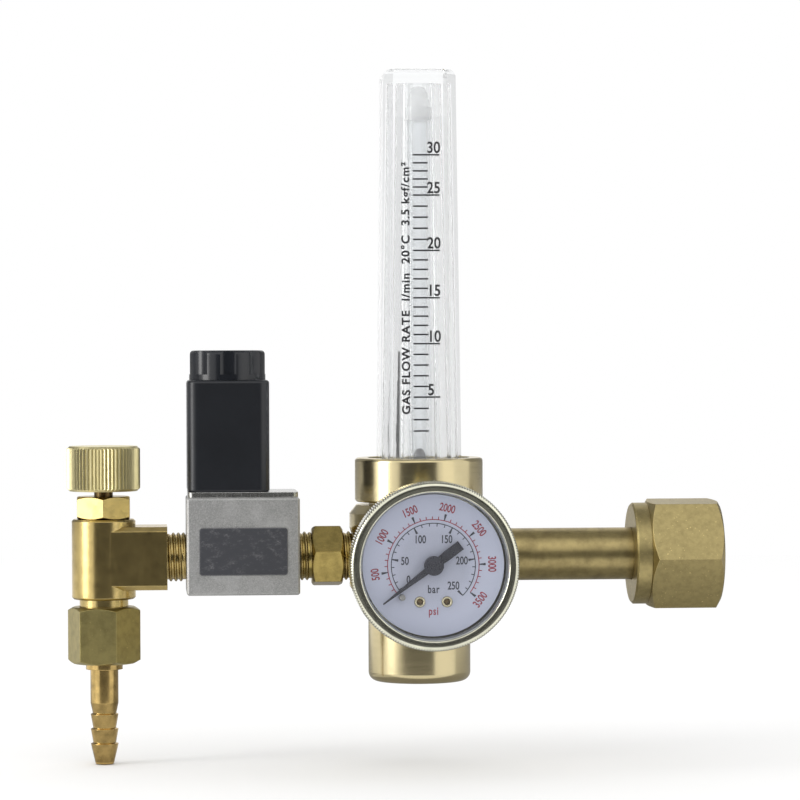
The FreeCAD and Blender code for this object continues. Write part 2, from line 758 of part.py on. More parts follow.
# Regulator
def regulator_body():
    body = turned("regulator_body", [
        ("0", "-body_drop"),
        ("body_radius - body_bevel_in", "-body_drop"),
        ("body_radius", "-body_drop + body_bevel_up"),
        ("body_radius", "body_rise - body_bevel_up"),
        ("body_radius - body_bevel_in", "body_rise"),
        ("neck_radius", "body_rise"),
        ("neck_radius", BOSS_BOTTOM),
        ("boss_radius", BOSS_BOTTOM),
        ("boss_radius", BOSS_TOP),
        ("0", BOSS_TOP),
    ], x=AXIS_X)
    groove(body, [
        ("0", "-body_drop"),
        ("spigot_radius + thread_gap", "-body_drop"),
        ("spigot_radius + thread_gap", "-diaphragm_seat"),
        ("low_chamber_radius", "-diaphragm_seat"),
        ("low_chamber_radius", NOZZLE_BOTTOM),
        ("high_chamber_radius", NOZZLE_BOTTOM),
        ("high_chamber_radius", "high_chamber_top"),
        ("0", "high_chamber_top"),
    ])
    groove(body, [
        ("0", "seat_socket_floor"),
        ("seat_socket_radius", "seat_socket_floor"),
        ("seat_socket_radius", BOSS_TOP),
        ("0", BOSS_TOP),
    ])
    inlet = ("port_thread_radius", "port_drill", "high_chamber_radius / 2", ALONG_X, "x", "")
    return_side = "return_offset - return_radius - port_drill_overrun"
    outlet = ("port_thread_radius", "port_drill", return_side, ALONG_MINUS_X, "x", "-")
    gauge = ("gauge_thread_radius", "gauge_drill", "high_chamber_radius / 2", FACING_FRONT, "y", "-")
    for thread, passage, passage_start, turn, axis, sign in (inlet, outlet, gauge):
        drill(body, "port_face_radius", "body_radius", turn=turn, **{axis: f"{sign}port_face"})
        drill(body, f"{thread} + thread_gap", "body_radius", turn=turn, **{axis: f"{sign}port_floor"})
        drill(body, passage, "body_radius", turn=turn, **{axis: f"{sign}({passage_start})"})
    drill(body, "feed_radius", f"feed_height - ({NOZZLE_BOTTOM})", y="feed_offset", z=NOZZLE_BOTTOM)
    drill(body, "feed_radius", "body_radius", z="feed_height", turn=ALONG_Y)
    plug_floor = "body_radius - plug_inset - plug_length"
    drill(body, "plug_radius + thread_gap", "body_radius", y=plug_floor, z="feed_height", turn=ALONG_Y)
    drill(body, "return_radius", BOSS_TOP, x="-return_offset")
    plug = new_body("passage_plug", ALONG_Y, x=AXIS_X, z="feed_height")
    rod(plug, "plug_radius", "plug_length", z=plug_floor)


def spring_bonnet():
    body = turned("spring_bonnet", [
        ("screw_radius + thread_gap", "-bonnet_drop"),
        ("bonnet_radius", "-bonnet_drop"),
        ("bonnet_radius", "-body_drop"),
        ("spigot_radius", "-body_drop"),
        ("spigot_radius", DIAPHRAGM_BOTTOM),
        ("bonnet_bore", DIAPHRAGM_BOTTOM),
        ("bonnet_bore", BONNET_FLOOR),
        ("screw_radius + thread_gap", BONNET_FLOOR),
    ], x=AXIS_X)
    soften(body, "Fillet", "bonnet_round", ring_edge("bonnet_radius", "-bonnet_drop"))


def adjusting_screw():
    foot = "-bonnet_drop + screw_inset"
    body = turned("adjusting_screw", [
        ("0", foot),
        ("screw_radius", foot),
        ("screw_radius", f"{BUTTON_BOTTOM} - screw_point_length"),
        ("screw_point_radius", BUTTON_BOTTOM),
        ("0", BUTTON_BOTTOM),
    ], x=AXIS_X)
    hexagon(body, "screw_socket_flats", foot, "screw_socket_depth", "0", "SubtractivePrism")


def regulating_valve():
    turned("spring_button", [
        ("0", BUTTON_BOTTOM),
        ("button_radius", BUTTON_BOTTOM),
        ("button_radius", BUTTON_TOP),
        ("spring_boss_radius", BUTTON_TOP),
        ("spring_boss_radius", f"{BUTTON_TOP} + button_boss_height"),
        ("0", f"{BUTTON_TOP} + button_boss_height"),
    ], x=AXIS_X)
    coil_spring("regulating_spring", "spring_radius", "spring_wire", "spring_pitch",
                BUTTON_TOP, PLATE_BOTTOM, AXIS_X)
    turned("diaphragm_plate", [
        ("0", f"{PLATE_BOTTOM} - plate_boss_height"),
        ("spring_boss_radius", f"{PLATE_BOTTOM} - plate_boss_height"),
        ("spring_boss_radius", PLATE_BOTTOM),
        ("plate_radius", PLATE_BOTTOM),
        ("plate_radius", DIAPHRAGM_BOTTOM),
        ("0", DIAPHRAGM_BOTTOM),
    ], x=AXIS_X)
    turned("diaphragm", [
        ("0", DIAPHRAGM_BOTTOM),
        ("spigot_radius", DIAPHRAGM_BOTTOM),
        ("spigot_radius", "-diaphragm_seat"),
        ("0", "-diaphragm_seat"),
    ], x=AXIS_X)
    turned("valve_nozzle", [
        ("nozzle_bore", NOZZLE_BOTTOM),
        ("high_chamber_radius - thread_gap", NOZZLE_BOTTOM),
        ("high_chamber_radius - thread_gap", NOZZLE_TOP),
        ("nozzle_lip_radius + nozzle_lip_height", NOZZLE_TOP),
        ("nozzle_lip_radius", f"{NOZZLE_TOP} + nozzle_lip_height"),
        ("nozzle_bore", f"{NOZZLE_TOP} + nozzle_lip_height"),
    ], x=AXIS_X)
    head_top = f"({POPPET_HEAD} + poppet_head_height)"
    turned("valve_poppet", [
        ("0", "-diaphragm_seat"),
        ("poppet_pin_radius", "-diaphragm_seat"),
        ("poppet_pin_radius", POPPET_HEAD),
        ("poppet_head_radius", POPPET_HEAD),
        ("poppet_head_radius", head_top),
        ("poppet_guide_radius", head_top),
        ("poppet_guide_radius", f"{head_top} + poppet_guide_height"),
        ("0", f"{head_top} + poppet_guide_height"),
    ], x=AXIS_X)
    coil_spring("poppet_spring", "poppet_spring_radius", "poppet_spring_wire", "poppet_spring_pitch",
                head_top, "high_chamber_top", AXIS_X)


# Flow meter
def cover_nut():
    body = turned("cover_nut", [
        ("boss_radius + thread_gap", COVER_NUT_BOTTOM),
        ("cover_nut_radius - cover_nut_bevel", COVER_NUT_BOTTOM),
        ("cover_nut_radius", f"{COVER_NUT_BOTTOM} + cover_nut_bevel"),
        ("cover_nut_radius", COVER_NUT_TOP),
        ("cover_nut_hole", COVER_NUT_TOP),
        ("cover_nut_hole", COVER_FLANGE_TOP),
        ("boss_radius + thread_gap", COVER_FLANGE_TOP),
    ], x=AXIS_X)
    soften(body, "Fillet", "cover_nut_round", ring_edge("cover_nut_radius", COVER_NUT_TOP))


def cover_section(width):
    """A square with its corners cut, as four mirrored pairs of points."""
    flat = f"({width} / 2)"
    cut = f"({width} / 2 - cover_corner)"
    quarter = [(cut, flat), (flat, cut)]
    right = quarter + [(across, f"-{along}") for across, along in reversed(quarter)]
    return right + [(f"-{across}", along) for across, along in reversed(right)]


def flow_cover():
    body = new_body("flow_cover", x=AXIS_X)
    shell = pad(body, cover_section("cover_foot_width"), f"{COVER_TOP} - {COVER_BOTTOM}", lift=COVER_BOTTOM)
    doc.recompute()
    faces = list(enumerate(shell.Shape.Faces, start=1))
    draft = body.newObject("PartDesign::Draft", "Draft")
    draft.Base = (shell, [f"Face{i}" for i, face in faces if near(face.normalAt(0, 0).z, 0)])
    foot = value(COVER_BOTTOM)
    draft.NeutralPlane = (shell, [f"Face{i}" for i, face in faces if near(face.BoundBox.ZMax, foot)])
    bind(draft, Angle=f"atan(cover_taper / ({COVER_TOP} - {COVER_BOTTOM}))")
    soften(body, "Fillet", "cover_round", level_edge(COVER_TOP))
    rod(body, "cover_flange_radius", "cover_flange_height", z=COVER_BOTTOM)
    groove(body, [
        ("0", COVER_BOTTOM),
        ("cover_foot_bore", COVER_BOTTOM),
        ("cover_top_bore", CAVITY_TOP),
        ("0", CAVITY_TOP),
    ])
    turned("cover_gasket", [
        ("gasket_bore", BOSS_TOP),
        ("gasket_radius", BOSS_TOP),
        ("gasket_radius", COVER_BOTTOM),
        ("gasket_bore", COVER_BOTTOM),
    ], x=AXIS_X)


def metering_tube():
    foot = "seat_socket_floor + tube_seat_foot"
    rim = f"{CUP_FLOOR} + tube_seat_cup"
    turned("tube_seat", [
        ("float_seat_bore", foot),
        ("seat_socket_radius - thread_gap", foot),
        ("seat_socket_radius - thread_gap", BOSS_TOP),
        ("tube_seat_radius", BOSS_TOP),
        ("tube_seat_radius", rim),
        ("tube_radius + thread_gap", rim),
        ("tube_radius + thread_gap", CUP_FLOOR),
        ("float_seat_radius", CUP_FLOOR),
        ("float_seat_radius", FLOAT_SEAT),
        ("float_seat_bore", FLOAT_SEAT),
    ], x=AXIS_X)
    turned("tube_gasket", [
        ("tube_foot_bore", CUP_FLOOR),
        ("tube_radius", CUP_FLOOR),
        ("tube_radius", TUBE_BOTTOM),
        ("tube_foot_bore", TUBE_BOTTOM),
    ], x=AXIS_X)
    turned("metering_tube", [
        ("tube_foot_bore", TUBE_BOTTOM),
        ("tube_radius", TUBE_BOTTOM),
        ("tube_radius", TUBE_TOP),
        ("tube_top_bore", TUBE_TOP),
    ], x=AXIS_X)
    ball = doc.addObject("Part::Sphere", "float_ball")
    ball.Label = "float_ball"
    bind(ball, Radius="float_radius")
    ball.setExpression("Placement.Base.x", ref(AXIS_X))
    seated = f"{FLOAT_SEAT} + sqrt(float_radius^2 - float_seat_bore^2)"
    ball.setExpression("Placement.Base.z", ref(f"{seated} + float_gap"))
    pieces.append(ball)


def tube_stop():
    foot = f"{TUBE_TOP} - stop_stem_length"
    body = turned("tube_stop", [
        ("0", foot),
        ("stop_stem_radius", foot),
        ("stop_stem_radius", TUBE_TOP),
        ("stop_flange_radius", TUBE_TOP),
        ("stop_flange_radius", STOP_FLANGE_TOP),
        ("stop_dome_radius", STOP_FLANGE_TOP),
        ("stop_dome_radius", STOP_TOP),
        ("0", STOP_TOP),
    ], x=AXIS_X)
    soften(body, "Fillet", "stop_dome_round", ring_edge("stop_dome_radius", STOP_TOP))
    vent_height = f"{STOP_FLANGE_TOP} + 2 * stop_vent"
    drill(body, "stop_bore", f"{vent_height} - ({foot})", z=foot)
    drill(body, "stop_vent", "2 * stop_dome_radius", x="-stop_dome_radius", z=vent_height, turn=ALONG_X)
    ring_top = f"{TUBE_TOP} - guide_ring_drop"
    turned("tube_guide_ring", [
        ("tube_radius + thread_gap", f"{ring_top} - guide_ring_height"),
        ("guide_ring_radius", f"{ring_top} - guide_ring_height"),
        ("guide_ring_radius", ring_top),
        ("tube_radius + thread_gap", ring_top),
    ], x=AXIS_X)


# Gauge, with each piece's own Z axis facing the viewer and its Y axis up
def gauge_piece(label, points):
    return turned(label, points, FACING_FRONT, x=AXIS_X)


def gauge_stem():
    tail = "port_floor + port_end_gap"
    body = gauge_piece("gauge_stem", [
        ("gauge_drill", tail),
        ("gauge_thread_radius", tail),
        ("gauge_thread_radius", "port_face"),
        ("gauge_stem_radius", "port_face"),
        ("gauge_stem_radius", STEM_FRONT),
        ("0", STEM_FRONT),
        ("0", f"{STEM_FRONT} - gauge_stem_depth / 2"),
        ("gauge_drill", f"{STEM_FRONT} - gauge_stem_depth / 2"),
    ])
    hexagon(body, "gauge_stem_flats", "gauge_stem_flats_start", "gauge_stem_flats_length", "0")
    hex_bevels(body, "gauge_stem_flats", "gauge_stem_flats_start", "gauge_stem_flats_length")
    inner = "gauge_case_back + gauge_case_wall"
    bar(body, "tube_arm_width", "pressure_tube_radius", f"{STEM_FRONT} - ({inner})",
        x="-tube_arm_width / 2", y="-pressure_tube_radius", z=inner)


def gauge_case():
    inner = "gauge_case_radius - gauge_case_wall"
    floor = "gauge_case_back + gauge_case_wall"
    body = gauge_piece("gauge_case", [
        ("gauge_stem_radius + thread_gap", "gauge_case_back"),
        ("gauge_case_radius", "gauge_case_back"),
        ("gauge_case_radius", CASE_FRONT),
        (inner, CASE_FRONT),
        (inner, floor),
        ("gauge_stem_radius + thread_gap", floor),
    ])
    soften(body, "Fillet", "gauge_case_round", ring_edge("gauge_case_radius", "gauge_case_back"))


def gauge_front():
    front = f"({LENS_FRONT} + bezel_lip)"
    inner = "gauge_case_radius + thread_gap"
    gauge_piece("gauge_bezel", [
        (inner, f"{front} - bezel_length"),
        ("bezel_radius", f"{front} - bezel_length"),
        ("bezel_radius", f"{front} - bezel_bevel"),
        ("bezel_radius - bezel_bevel", front),
        ("bezel_radius - bezel_bevel - bezel_crest", front),
        ("bezel_opening", LENS_FRONT),
        (inner, LENS_FRONT),
    ])
    gauge_piece("gauge_lens", [
        ("0", LENS_BACK),
        ("gauge_case_radius", LENS_BACK),
        ("gauge_case_radius", LENS_FRONT),
        ("0", LENS_FRONT),
    ])
    gauge_piece("lens_gasket", [
        ("lens_gasket_bore", CASE_FRONT),
        ("gauge_case_radius", CASE_FRONT),
        ("gauge_case_radius", LENS_BACK),
        ("lens_gasket_bore", LENS_BACK),
    ])


def gauge_dial():
    dial = gauge_piece("gauge_dial", [
        ("dial_hole", DIAL_BACK),
        ("dial_radius", DIAL_BACK),
        ("dial_radius", DIAL_FACE),
        ("dial_hole", DIAL_FACE),
    ])
    for side in ("", "-"):
        drill(dial, "eyelet_shank + thread_gap", "dial_thickness", f"{side}eyelet_x", "eyelet_y", DIAL_BACK)
    drill(dial, "stop_pin_radius + thread_gap", "dial_thickness", "stop_pin_x", "stop_pin_y", DIAL_BACK)
    eyelets = new_body("dial_eyelets", FACING_FRONT, x=AXIS_X)
    eyelets.AllowCompound = True
    shank_end = f"{DIAL_FACE} - eyelet_length"
    for side in ("", "-"):
        place = (f"{side}eyelet_x", "eyelet_y")
        rod(eyelets, "eyelet_radius", "eyelet_rim", *place, DIAL_FACE)
        rod(eyelets, "eyelet_shank", "eyelet_length", *place, shank_end)
        drill(eyelets, "eyelet_bore", "eyelet_length + eyelet_rim", *place, shank_end)
    pin = new_body("pointer_stop_pin", FACING_FRONT, x=AXIS_X)
    rod(pin, "stop_pin_radius", "stop_pin_height + dial_thickness", "stop_pin_x", "stop_pin_y", DIAL_BACK)


def gauge_pointer():
    body = new_body("gauge_pointer", FACING_FRONT, x=AXIS_X)
    back = f"{DIAL_FACE} + pointer_lift"
    pad(body, [
        ("pointer_tip", "pointer_tip_width / 2"),
        ("0", "pointer_root_width / 2"),
        ("-pointer_tail / 2", "pointer_tail_width / 2"),
        ("-pointer_tail", "pointer_tail_width / 2"),
        ("-pointer_tail", "-pointer_tail_width / 2"),
        ("-pointer_tail / 2", "-pointer_tail_width / 2"),
        ("0", "-pointer_root_width / 2"),
        ("pointer_tip", "-pointer_tip_width / 2"),
    ], "pointer_thickness", lift=back, spin="pointer_rest")
    rod(body, "pointer_hub_radius", "pointer_hub_height", z=back)
    socket = "(pointer_hub_height - pointer_hub_roof)"
    drill(body, "arbor_radius + thread_gap", socket, z=back)
    gauge_piece("pointer_arbor", [
        ("0", f"{STEM_FRONT} + running_gap"),
        ("arbor_radius", f"{STEM_FRONT} + running_gap"),
        ("arbor_radius", f"{back} + {socket} - thread_gap"),
        ("0", f"{back} + {socket} - thread_gap"),
    ])


def gauge_movement():
    frame = new_body("movement_frame", FACING_FRONT, x=AXIS_X)
    outline = [
        ("-movement_half_width", "-movement_drop"),
        ("movement_half_width", "-movement_drop"),
        ("movement_half_width", "movement_rise"),
        ("-movement_half_width", "movement_rise"),
    ]
    pad(frame, outline, "movement_plate", lift=STEM_FRONT)
    front_plate = f"{STEM_FRONT} + movement_plate + movement_gap"
    side = "movement_half_width - pillar_inset"
    for x, y in ((side, "movement_rise - pillar_inset"), (f"-({side})", "movement_rise - pillar_inset"),
                 (side, "-movement_drop + pillar_inset"), (f"-({side})", "-movement_drop + pillar_inset")):
        rod(frame, "pillar_radius", "movement_gap + movement_plate", x, y,
            f"{STEM_FRONT} + movement_plate / 2")
    pad(frame, outline, "movement_plate", lift=front_plate)
    for sign in ("", "-"):
        rod(frame, "post_radius", "dial_stand", f"{sign}eyelet_x", "eyelet_y", MOVEMENT_TOP)
    for sign in ("", "-"):
        drill(frame, "eyelet_shank + thread_gap", "eyelet_length", f"{sign}eyelet_x", "eyelet_y",
              f"{DIAL_FACE} - eyelet_length")
    drill(frame, "arbor_radius + running_gap", f"{MOVEMENT_TOP} - {STEM_FRONT}", z=STEM_FRONT)
    tube = new_body("pressure_tube", FACING_FRONT, x=AXIS_X)
    low = STEM_FRONT
    high = f"({STEM_FRONT} + pressure_tube_height)"
    flat = "(pressure_tube_width / 2)"
    revolve(tube, [
        ("pressure_tube_radius", low),
        (f"pressure_tube_radius + {flat}", f"{low} + {flat}"),
        (f"pressure_tube_radius + {flat}", f"{high} - {flat}"),
        ("pressure_tube_radius", high),
        (f"pressure_tube_radius - {flat}", f"{high} - {flat}"),
        (f"pressure_tube_radius - {flat}", f"{low} + {flat}"),
    ], role="YZ_Plane", sweep="pressure_tube_sweep")


# Solenoid valve
def outlet_adapter():
    body = turned("outlet_adapter", [
        ("adapter_bore", f"-({BLOCK_FACE} + block_port_depth - port_end_gap)"),
        ("port_thread_radius", f"-({BLOCK_FACE} + block_port_depth - port_end_gap)"),
        ("port_thread_radius", "-(port_floor + port_end_gap)"),
        ("adapter_bore", "-(port_floor + port_end_gap)"),
    ], ALONG_X, x=AXIS_X)
    start = "-(adapter_stand + adapter_hex_length)"
    hexagon(body, "adapter_flats", start, "adapter_hex_length", "adapter_turn")
    hex_bevels(body, "adapter_flats", start, "adapter_hex_length")
    drill(body, "adapter_bore", "adapter_hex_length", z=start)


def valve_block():
    body = new_body("valve_block", x=COIL_X)
    bar(body, "block_length", "block_depth", "block_drop + block_rise",
        x="-coil_inset", y="-block_depth / 2", z="-block_drop")
    soften(body, "Chamfer", "block_bevel", lambda edge: True)
    groove(body, [
        ("valve_seat_radius", "valve_chamber_floor"),
        ("valve_chamber_radius", "valve_chamber_floor"),
        ("valve_chamber_radius", VALVE_LEDGE),
        ("valve_flange_radius + thread_gap", VALVE_LEDGE),
        ("valve_flange_radius + thread_gap", FLANGE_TOP),
        ("0", FLANGE_TOP),
        ("0", VALVE_SEAT),
        ("valve_seat_radius", VALVE_SEAT),
    ])
    thread = "port_thread_radius + thread_gap"
    drill(body, thread, "block_port_depth", x=f"{BLOCK_RIGHT} - block_port_depth", turn=ALONG_X)
    drill(body, thread, "block_port_depth", x="-coil_inset", turn=ALONG_X)
    drill(body, "block_drill", f"{BLOCK_RIGHT} - valve_feed_offset",
          x="valve_feed_offset - block_drill", turn=ALONG_X)
    drill(body, "block_drill", "valve_chamber_floor", x="valve_feed_offset")
    drill(body, "block_drill", "coil_inset", x="-coil_inset", turn=ALONG_X)
    drill(body, "block_drill", VALVE_SEAT)


def coil_base_plate():
    body = new_body("coil_base_plate", x=COIL_X)
    bar(body, "block_length - 2 * base_plate_inset", "block_depth - 2 * base_plate_inset",
        "base_plate_thickness", x="-coil_inset + base_plate_inset", y="-block_depth / 2 + base_plate_inset",
        z="block_rise")
    soften(body, "Fillet", "base_plate_corner", upright_edge)
    drill(body, "armature_tube_radius + thread_gap", "base_plate_thickness", z="block_rise")


def coil_housing():
    body = new_body("coil_housing", x=COIL_X)
    bar(body, "coil_width", "coil_depth", "coil_height",
        x="-coil_width / 2", y="-coil_depth / 2", z=COIL_BOTTOM)
    soften(body, "Fillet", "coil_corner", upright_edge)
    soften(body, "Fillet", "coil_top_round", level_edge(COIL_TOP))
    soften(body, "Fillet", "coil_foot_round", level_edge(COIL_BOTTOM))
    middle = f"({COIL_BOTTOM} + coil_height / 2)"
    bar(body, "connector_width", "connector_depth + coil_corner", "connector_height",
        x="-connector_width / 2", y="coil_depth / 2 - coil_corner", z=f"{middle} - connector_height / 2")
    drill(body, "armature_tube_radius + thread_gap", "coil_height", z=COIL_BOTTOM)
    groove(body, [
        ("winding_bore - thread_gap", COIL_BOTTOM),
        ("winding_radius + thread_gap", COIL_BOTTOM),
        ("winding_radius + thread_gap", f"{COIL_BOTTOM} + winding_height"),
        ("winding_bore - thread_gap", f"{COIL_BOTTOM} + winding_height"),
    ])
    turned("coil_winding", [
        ("winding_bore", COIL_BOTTOM),
        ("winding_radius", COIL_BOTTOM),
        ("winding_radius", f"{COIL_BOTTOM} + winding_height"),
        ("winding_bore", f"{COIL_BOTTOM} + winding_height"),
    ], x=COIL_X)
    blades = new_body("coil_terminals", x=COIL_X)
    blades.AllowCompound = True
    root = "coil_depth / 2 + connector_depth"
    for side in ("", "-"):
        bar(blades, "blade_thickness", "blade_length", "blade_width",
            x=f"{side}blade_spacing / 2 - blade_thickness / 2", y=root, z=f"{middle} - blade_width / 2")
    bar(blades, "blade_width", "blade_length", "blade_thickness",
        x="-blade_width / 2", y=root, z=f"{middle} - earth_drop - blade_thickness / 2")


def armature():
    turned("armature_tube", [
        ("armature_bore", FLANGE_BOTTOM),
        ("valve_flange_radius", FLANGE_BOTTOM),
        ("valve_flange_radius", FLANGE_TOP),
        ("armature_tube_radius", FLANGE_TOP),
        ("armature_tube_radius", COIL_TOP),
        ("armature_stud_radius", COIL_TOP),
        ("armature_stud_radius", f"{COIL_TOP} + armature_stud_length"),
        ("0", f"{COIL_TOP} + armature_stud_length"),
        ("0", CORE_TOP),
        ("armature_bore", CORE_TOP),
    ], x=COIL_X)
    turned("valve_gasket", [
        ("valve_chamber_radius", VALVE_LEDGE),
        ("valve_flange_radius", VALVE_LEDGE),
        ("valve_flange_radius", FLANGE_BOTTOM),
        ("valve_chamber_radius", FLANGE_BOTTOM),
    ], x=COIL_X)
    turned("fixed_core", [
        ("spring_pocket_radius", CORE_BOTTOM),
        ("armature_bore - thread_gap", CORE_BOTTOM),
        ("armature_bore - thread_gap", CORE_TOP),
        ("0", CORE_TOP),
        ("0", f"{CORE_BOTTOM} + core_pocket_depth"),
        ("spring_pocket_radius", f"{CORE_BOTTOM} + core_pocket_depth"),
    ], x=COIL_X)
    pocket_floor = f"{PLUNGER_TOP} - plunger_pocket_depth"
    socket_roof = f"{PLUNGER_BOTTOM} + seal_socket"
    turned("plunger", [
        ("0", socket_roof),
        ("seal_radius", socket_roof),
        ("seal_radius", PLUNGER_BOTTOM),
        ("armature_bore - running_gap", PLUNGER_BOTTOM),
        ("armature_bore - running_gap", PLUNGER_TOP),
        ("spring_pocket_radius", PLUNGER_TOP),
        ("spring_pocket_radius", pocket_floor),
        ("0", pocket_floor),
    ], x=COIL_X)
    seal_foot = f"{PLUNGER_BOTTOM} - seal_show"
    turned("plunger_seal", [
        ("0", seal_foot),
        ("seal_radius - thread_gap", seal_foot),
        ("seal_radius - thread_gap", socket_roof),
        ("0", socket_roof),
    ], x=COIL_X)
    coil_spring("plunger_spring", "plunger_spring_radius", "plunger_spring_wire", "plunger_spring_pitch",
                pocket_floor, f"{CORE_BOTTOM} + core_pocket_depth", COIL_X)


def coil_nut():
    top = f"({COIL_TOP} + coil_nut_height)"
    body = turned("coil_nut", [
        ("armature_stud_radius + thread_gap", COIL_TOP),
        ("coil_nut_radius", COIL_TOP),
        ("coil_nut_radius", top),
        ("0", top),
        ("0", f"{top} - coil_nut_roof"),
        ("armature_stud_radius + thread_gap", f"{top} - coil_nut_roof"),
    ], x=COIL_X)
    soften(body, "Fillet", "coil_nut_round", ring_edge("coil_nut_radius", top))
    flute = drill(body, "coil_nut_flute_radius", "coil_nut_height",
                  x="coil_nut_radius + coil_nut_flute_radius - coil_nut_flute_depth",
                  z=f"{COIL_TOP} + coil_nut_flute_start")
    around(body, flute, "coil_nut_flutes")


# Needle valve and hose tail
def needle_valve_body():
    body = turned("needle_valve_body", [
        ("0", NEEDLE_END),
        ("needle_thread_radius", NEEDLE_END),
        ("needle_thread_radius", "-needle_body_drop"),
        ("needle_body_radius - needle_body_bevel", "-needle_body_drop"),
        ("needle_body_radius", "-needle_body_drop + needle_body_bevel"),
        ("needle_body_radius", "needle_body_rise - needle_body_bevel"),
        ("needle_body_radius - needle_body_bevel", "needle_body_rise"),
        ("0", "needle_body_rise"),
    ], x=NEEDLE_X)
    deep = "(arm_depth / 2)"
    tall = "(arm_height / 2)"
    quarter = [(f"{deep} - arm_bevel", tall), (deep, f"{tall} - arm_bevel")]
    lower = [(across, f"-({along})") for across, along in reversed(quarter)]
    right = quarter + lower
    left = [(f"-({across})", along) for across, along in reversed(right)]
    pad(body, right + left, "arm_reach", role="YZ_Plane")
    rod(body, "port_thread_radius", "shank_show + block_port_depth - port_end_gap",
        x="arm_reach", turn=ALONG_X)
    groove(body, [
        ("0", "needle_body_rise"),
        ("gland_socket_radius + thread_gap", "needle_body_rise"),
        ("gland_socket_radius + thread_gap", PACKING_BOTTOM),
        ("stem_chamber_radius", PACKING_BOTTOM),
        ("stem_chamber_radius", "-needle_seat_drop"),
        ("needle_seat_bore", "-needle_seat_drop"),
        ("needle_seat_bore", "-needle_seat_drop - needle_seat_length"),
        ("needle_outlet_bore", "-needle_seat_drop - needle_seat_length"),
        ("needle_outlet_bore", NEEDLE_END),
        ("0", NEEDLE_END),
    ])
    drill(body, "needle_inlet_bore", "arm_reach + shank_show + block_port_depth", turn=ALONG_X)


def needle_stem():
    gland = new_body("gland_nut", x=NEEDLE_X)
    hexagon(gland, "gland_flats", "needle_body_rise", "gland_height", "gland_turn")
    hex_bevels(gland, "gland_flats", "needle_body_rise", "gland_height")
    rod(gland, "gland_socket_radius", "gland_reach", z=GLAND_BOTTOM)
    drill(gland, "stem_radius + running_gap", "gland_reach + gland_height", z=GLAND_BOTTOM)
    turned("stem_packing", [
        ("stem_radius + running_gap", PACKING_BOTTOM),
        ("gland_socket_radius", PACKING_BOTTOM),
        ("gland_socket_radius", GLAND_BOTTOM),
        ("stem_radius + running_gap", GLAND_BOTTOM),
    ], x=NEEDLE_X)
    stem_top = f"{KNOB_TOP} - knob_roof - running_gap"
    turned("needle_stem", [
        ("0", "-needle_tip_drop"),
        ("needle_tip_radius", "-needle_tip_drop"),
        ("needle_mid_radius", "-needle_mid_drop"),
        ("stem_radius", "-needle_taper_start"),
        ("stem_radius", stem_top),
        ("0", stem_top),
    ], x=NEEDLE_X)


def control_knob():
    body = turned("control_knob", [
        ("stem_radius + running_gap", KNOB_BOTTOM),
        ("knob_radius - knob_bevel", KNOB_BOTTOM),
        ("knob_radius", f"{KNOB_BOTTOM} + knob_bevel"),
        ("knob_radius", f"{KNOB_TOP} - knob_bevel"),
        ("knob_radius - knob_bevel", KNOB_TOP),
        ("0", KNOB_TOP),
        ("0", f"{KNOB_TOP} - knob_roof"),
        ("stem_radius + running_gap", f"{KNOB_TOP} - knob_roof"),
    ], x=NEEDLE_X)
    spread = "(knob_radius * sin(180 / knob_flutes))"
    sketch = draw(body, [
        ("knob_radius - knob_flute_depth", "0"),
        ("knob_radius + knob_flute_depth", f"2 * {spread}"),
        ("knob_radius + knob_flute_depth", f"-2 * {spread}"),
    ], "XY_Plane", KNOB_BOTTOM)
    flute = body.newObject("PartDesign::Pocket", "Flute")
    flute.Profile = (sketch, [""])
    flute.Reversed = True
    bind(flute, Length="knob_height")
    around(body, flute, "knob_flutes")


def union_nut():
    body = new_body("union_nut", x=NEEDLE_X)
    hexagon(body, "union_flats", UNION_BOTTOM, UNION_HEIGHT, "union_turn")
    hex_bevels(body, "union_flats", UNION_BOTTOM, UNION_HEIGHT)
    drill(body, "needle_thread_radius + thread_gap", f"{UNION_TOP} - {BARB_LEDGE}", z=BARB_LEDGE)
    drill(body, "union_hole", UNION_HEIGHT, z=UNION_BOTTOM)
    turned("union_gasket", [
        ("needle_outlet_bore", BARB_TOP),
        ("barb_flange_radius", BARB_TOP),
        ("barb_flange_radius", NEEDLE_END),
        ("needle_outlet_bore", NEEDLE_END),
    ], x=NEEDLE_X)


def hose_barb():
    points = [
        ("barb_bore", BARB_TOP),
        ("barb_flange_radius", BARB_TOP),
        ("barb_flange_radius", BARB_LEDGE),
        ("barb_collar_radius", BARB_LEDGE),
        ("barb_collar_radius", BARB_TAIL),
        ("barb_tail_radius", BARB_TAIL),
        ("barb_tail_radius", f"{BARB_TAIL} - barb_tail_length"),
        ("barb_waist_radius", BARB_WAIST),
    ]
    rings = int(value("barb_rings"))
    for ring in range(rings):
        crest = f"{BARB_WAIST} - {ring} * barb_pitch - barb_step"
        points.append(("barb_crest_radius", crest))
        if ring < rings - 1:
            points.append(("barb_root_radius", f"{BARB_WAIST} - {ring + 1} * barb_pitch"))
    tip = f"{crest} - barb_tip_length"
    points.append(("barb_tip_radius", tip))
    points.append(("barb_bore", tip))
    turned("hose_barb", points, x=NEEDLE_X)


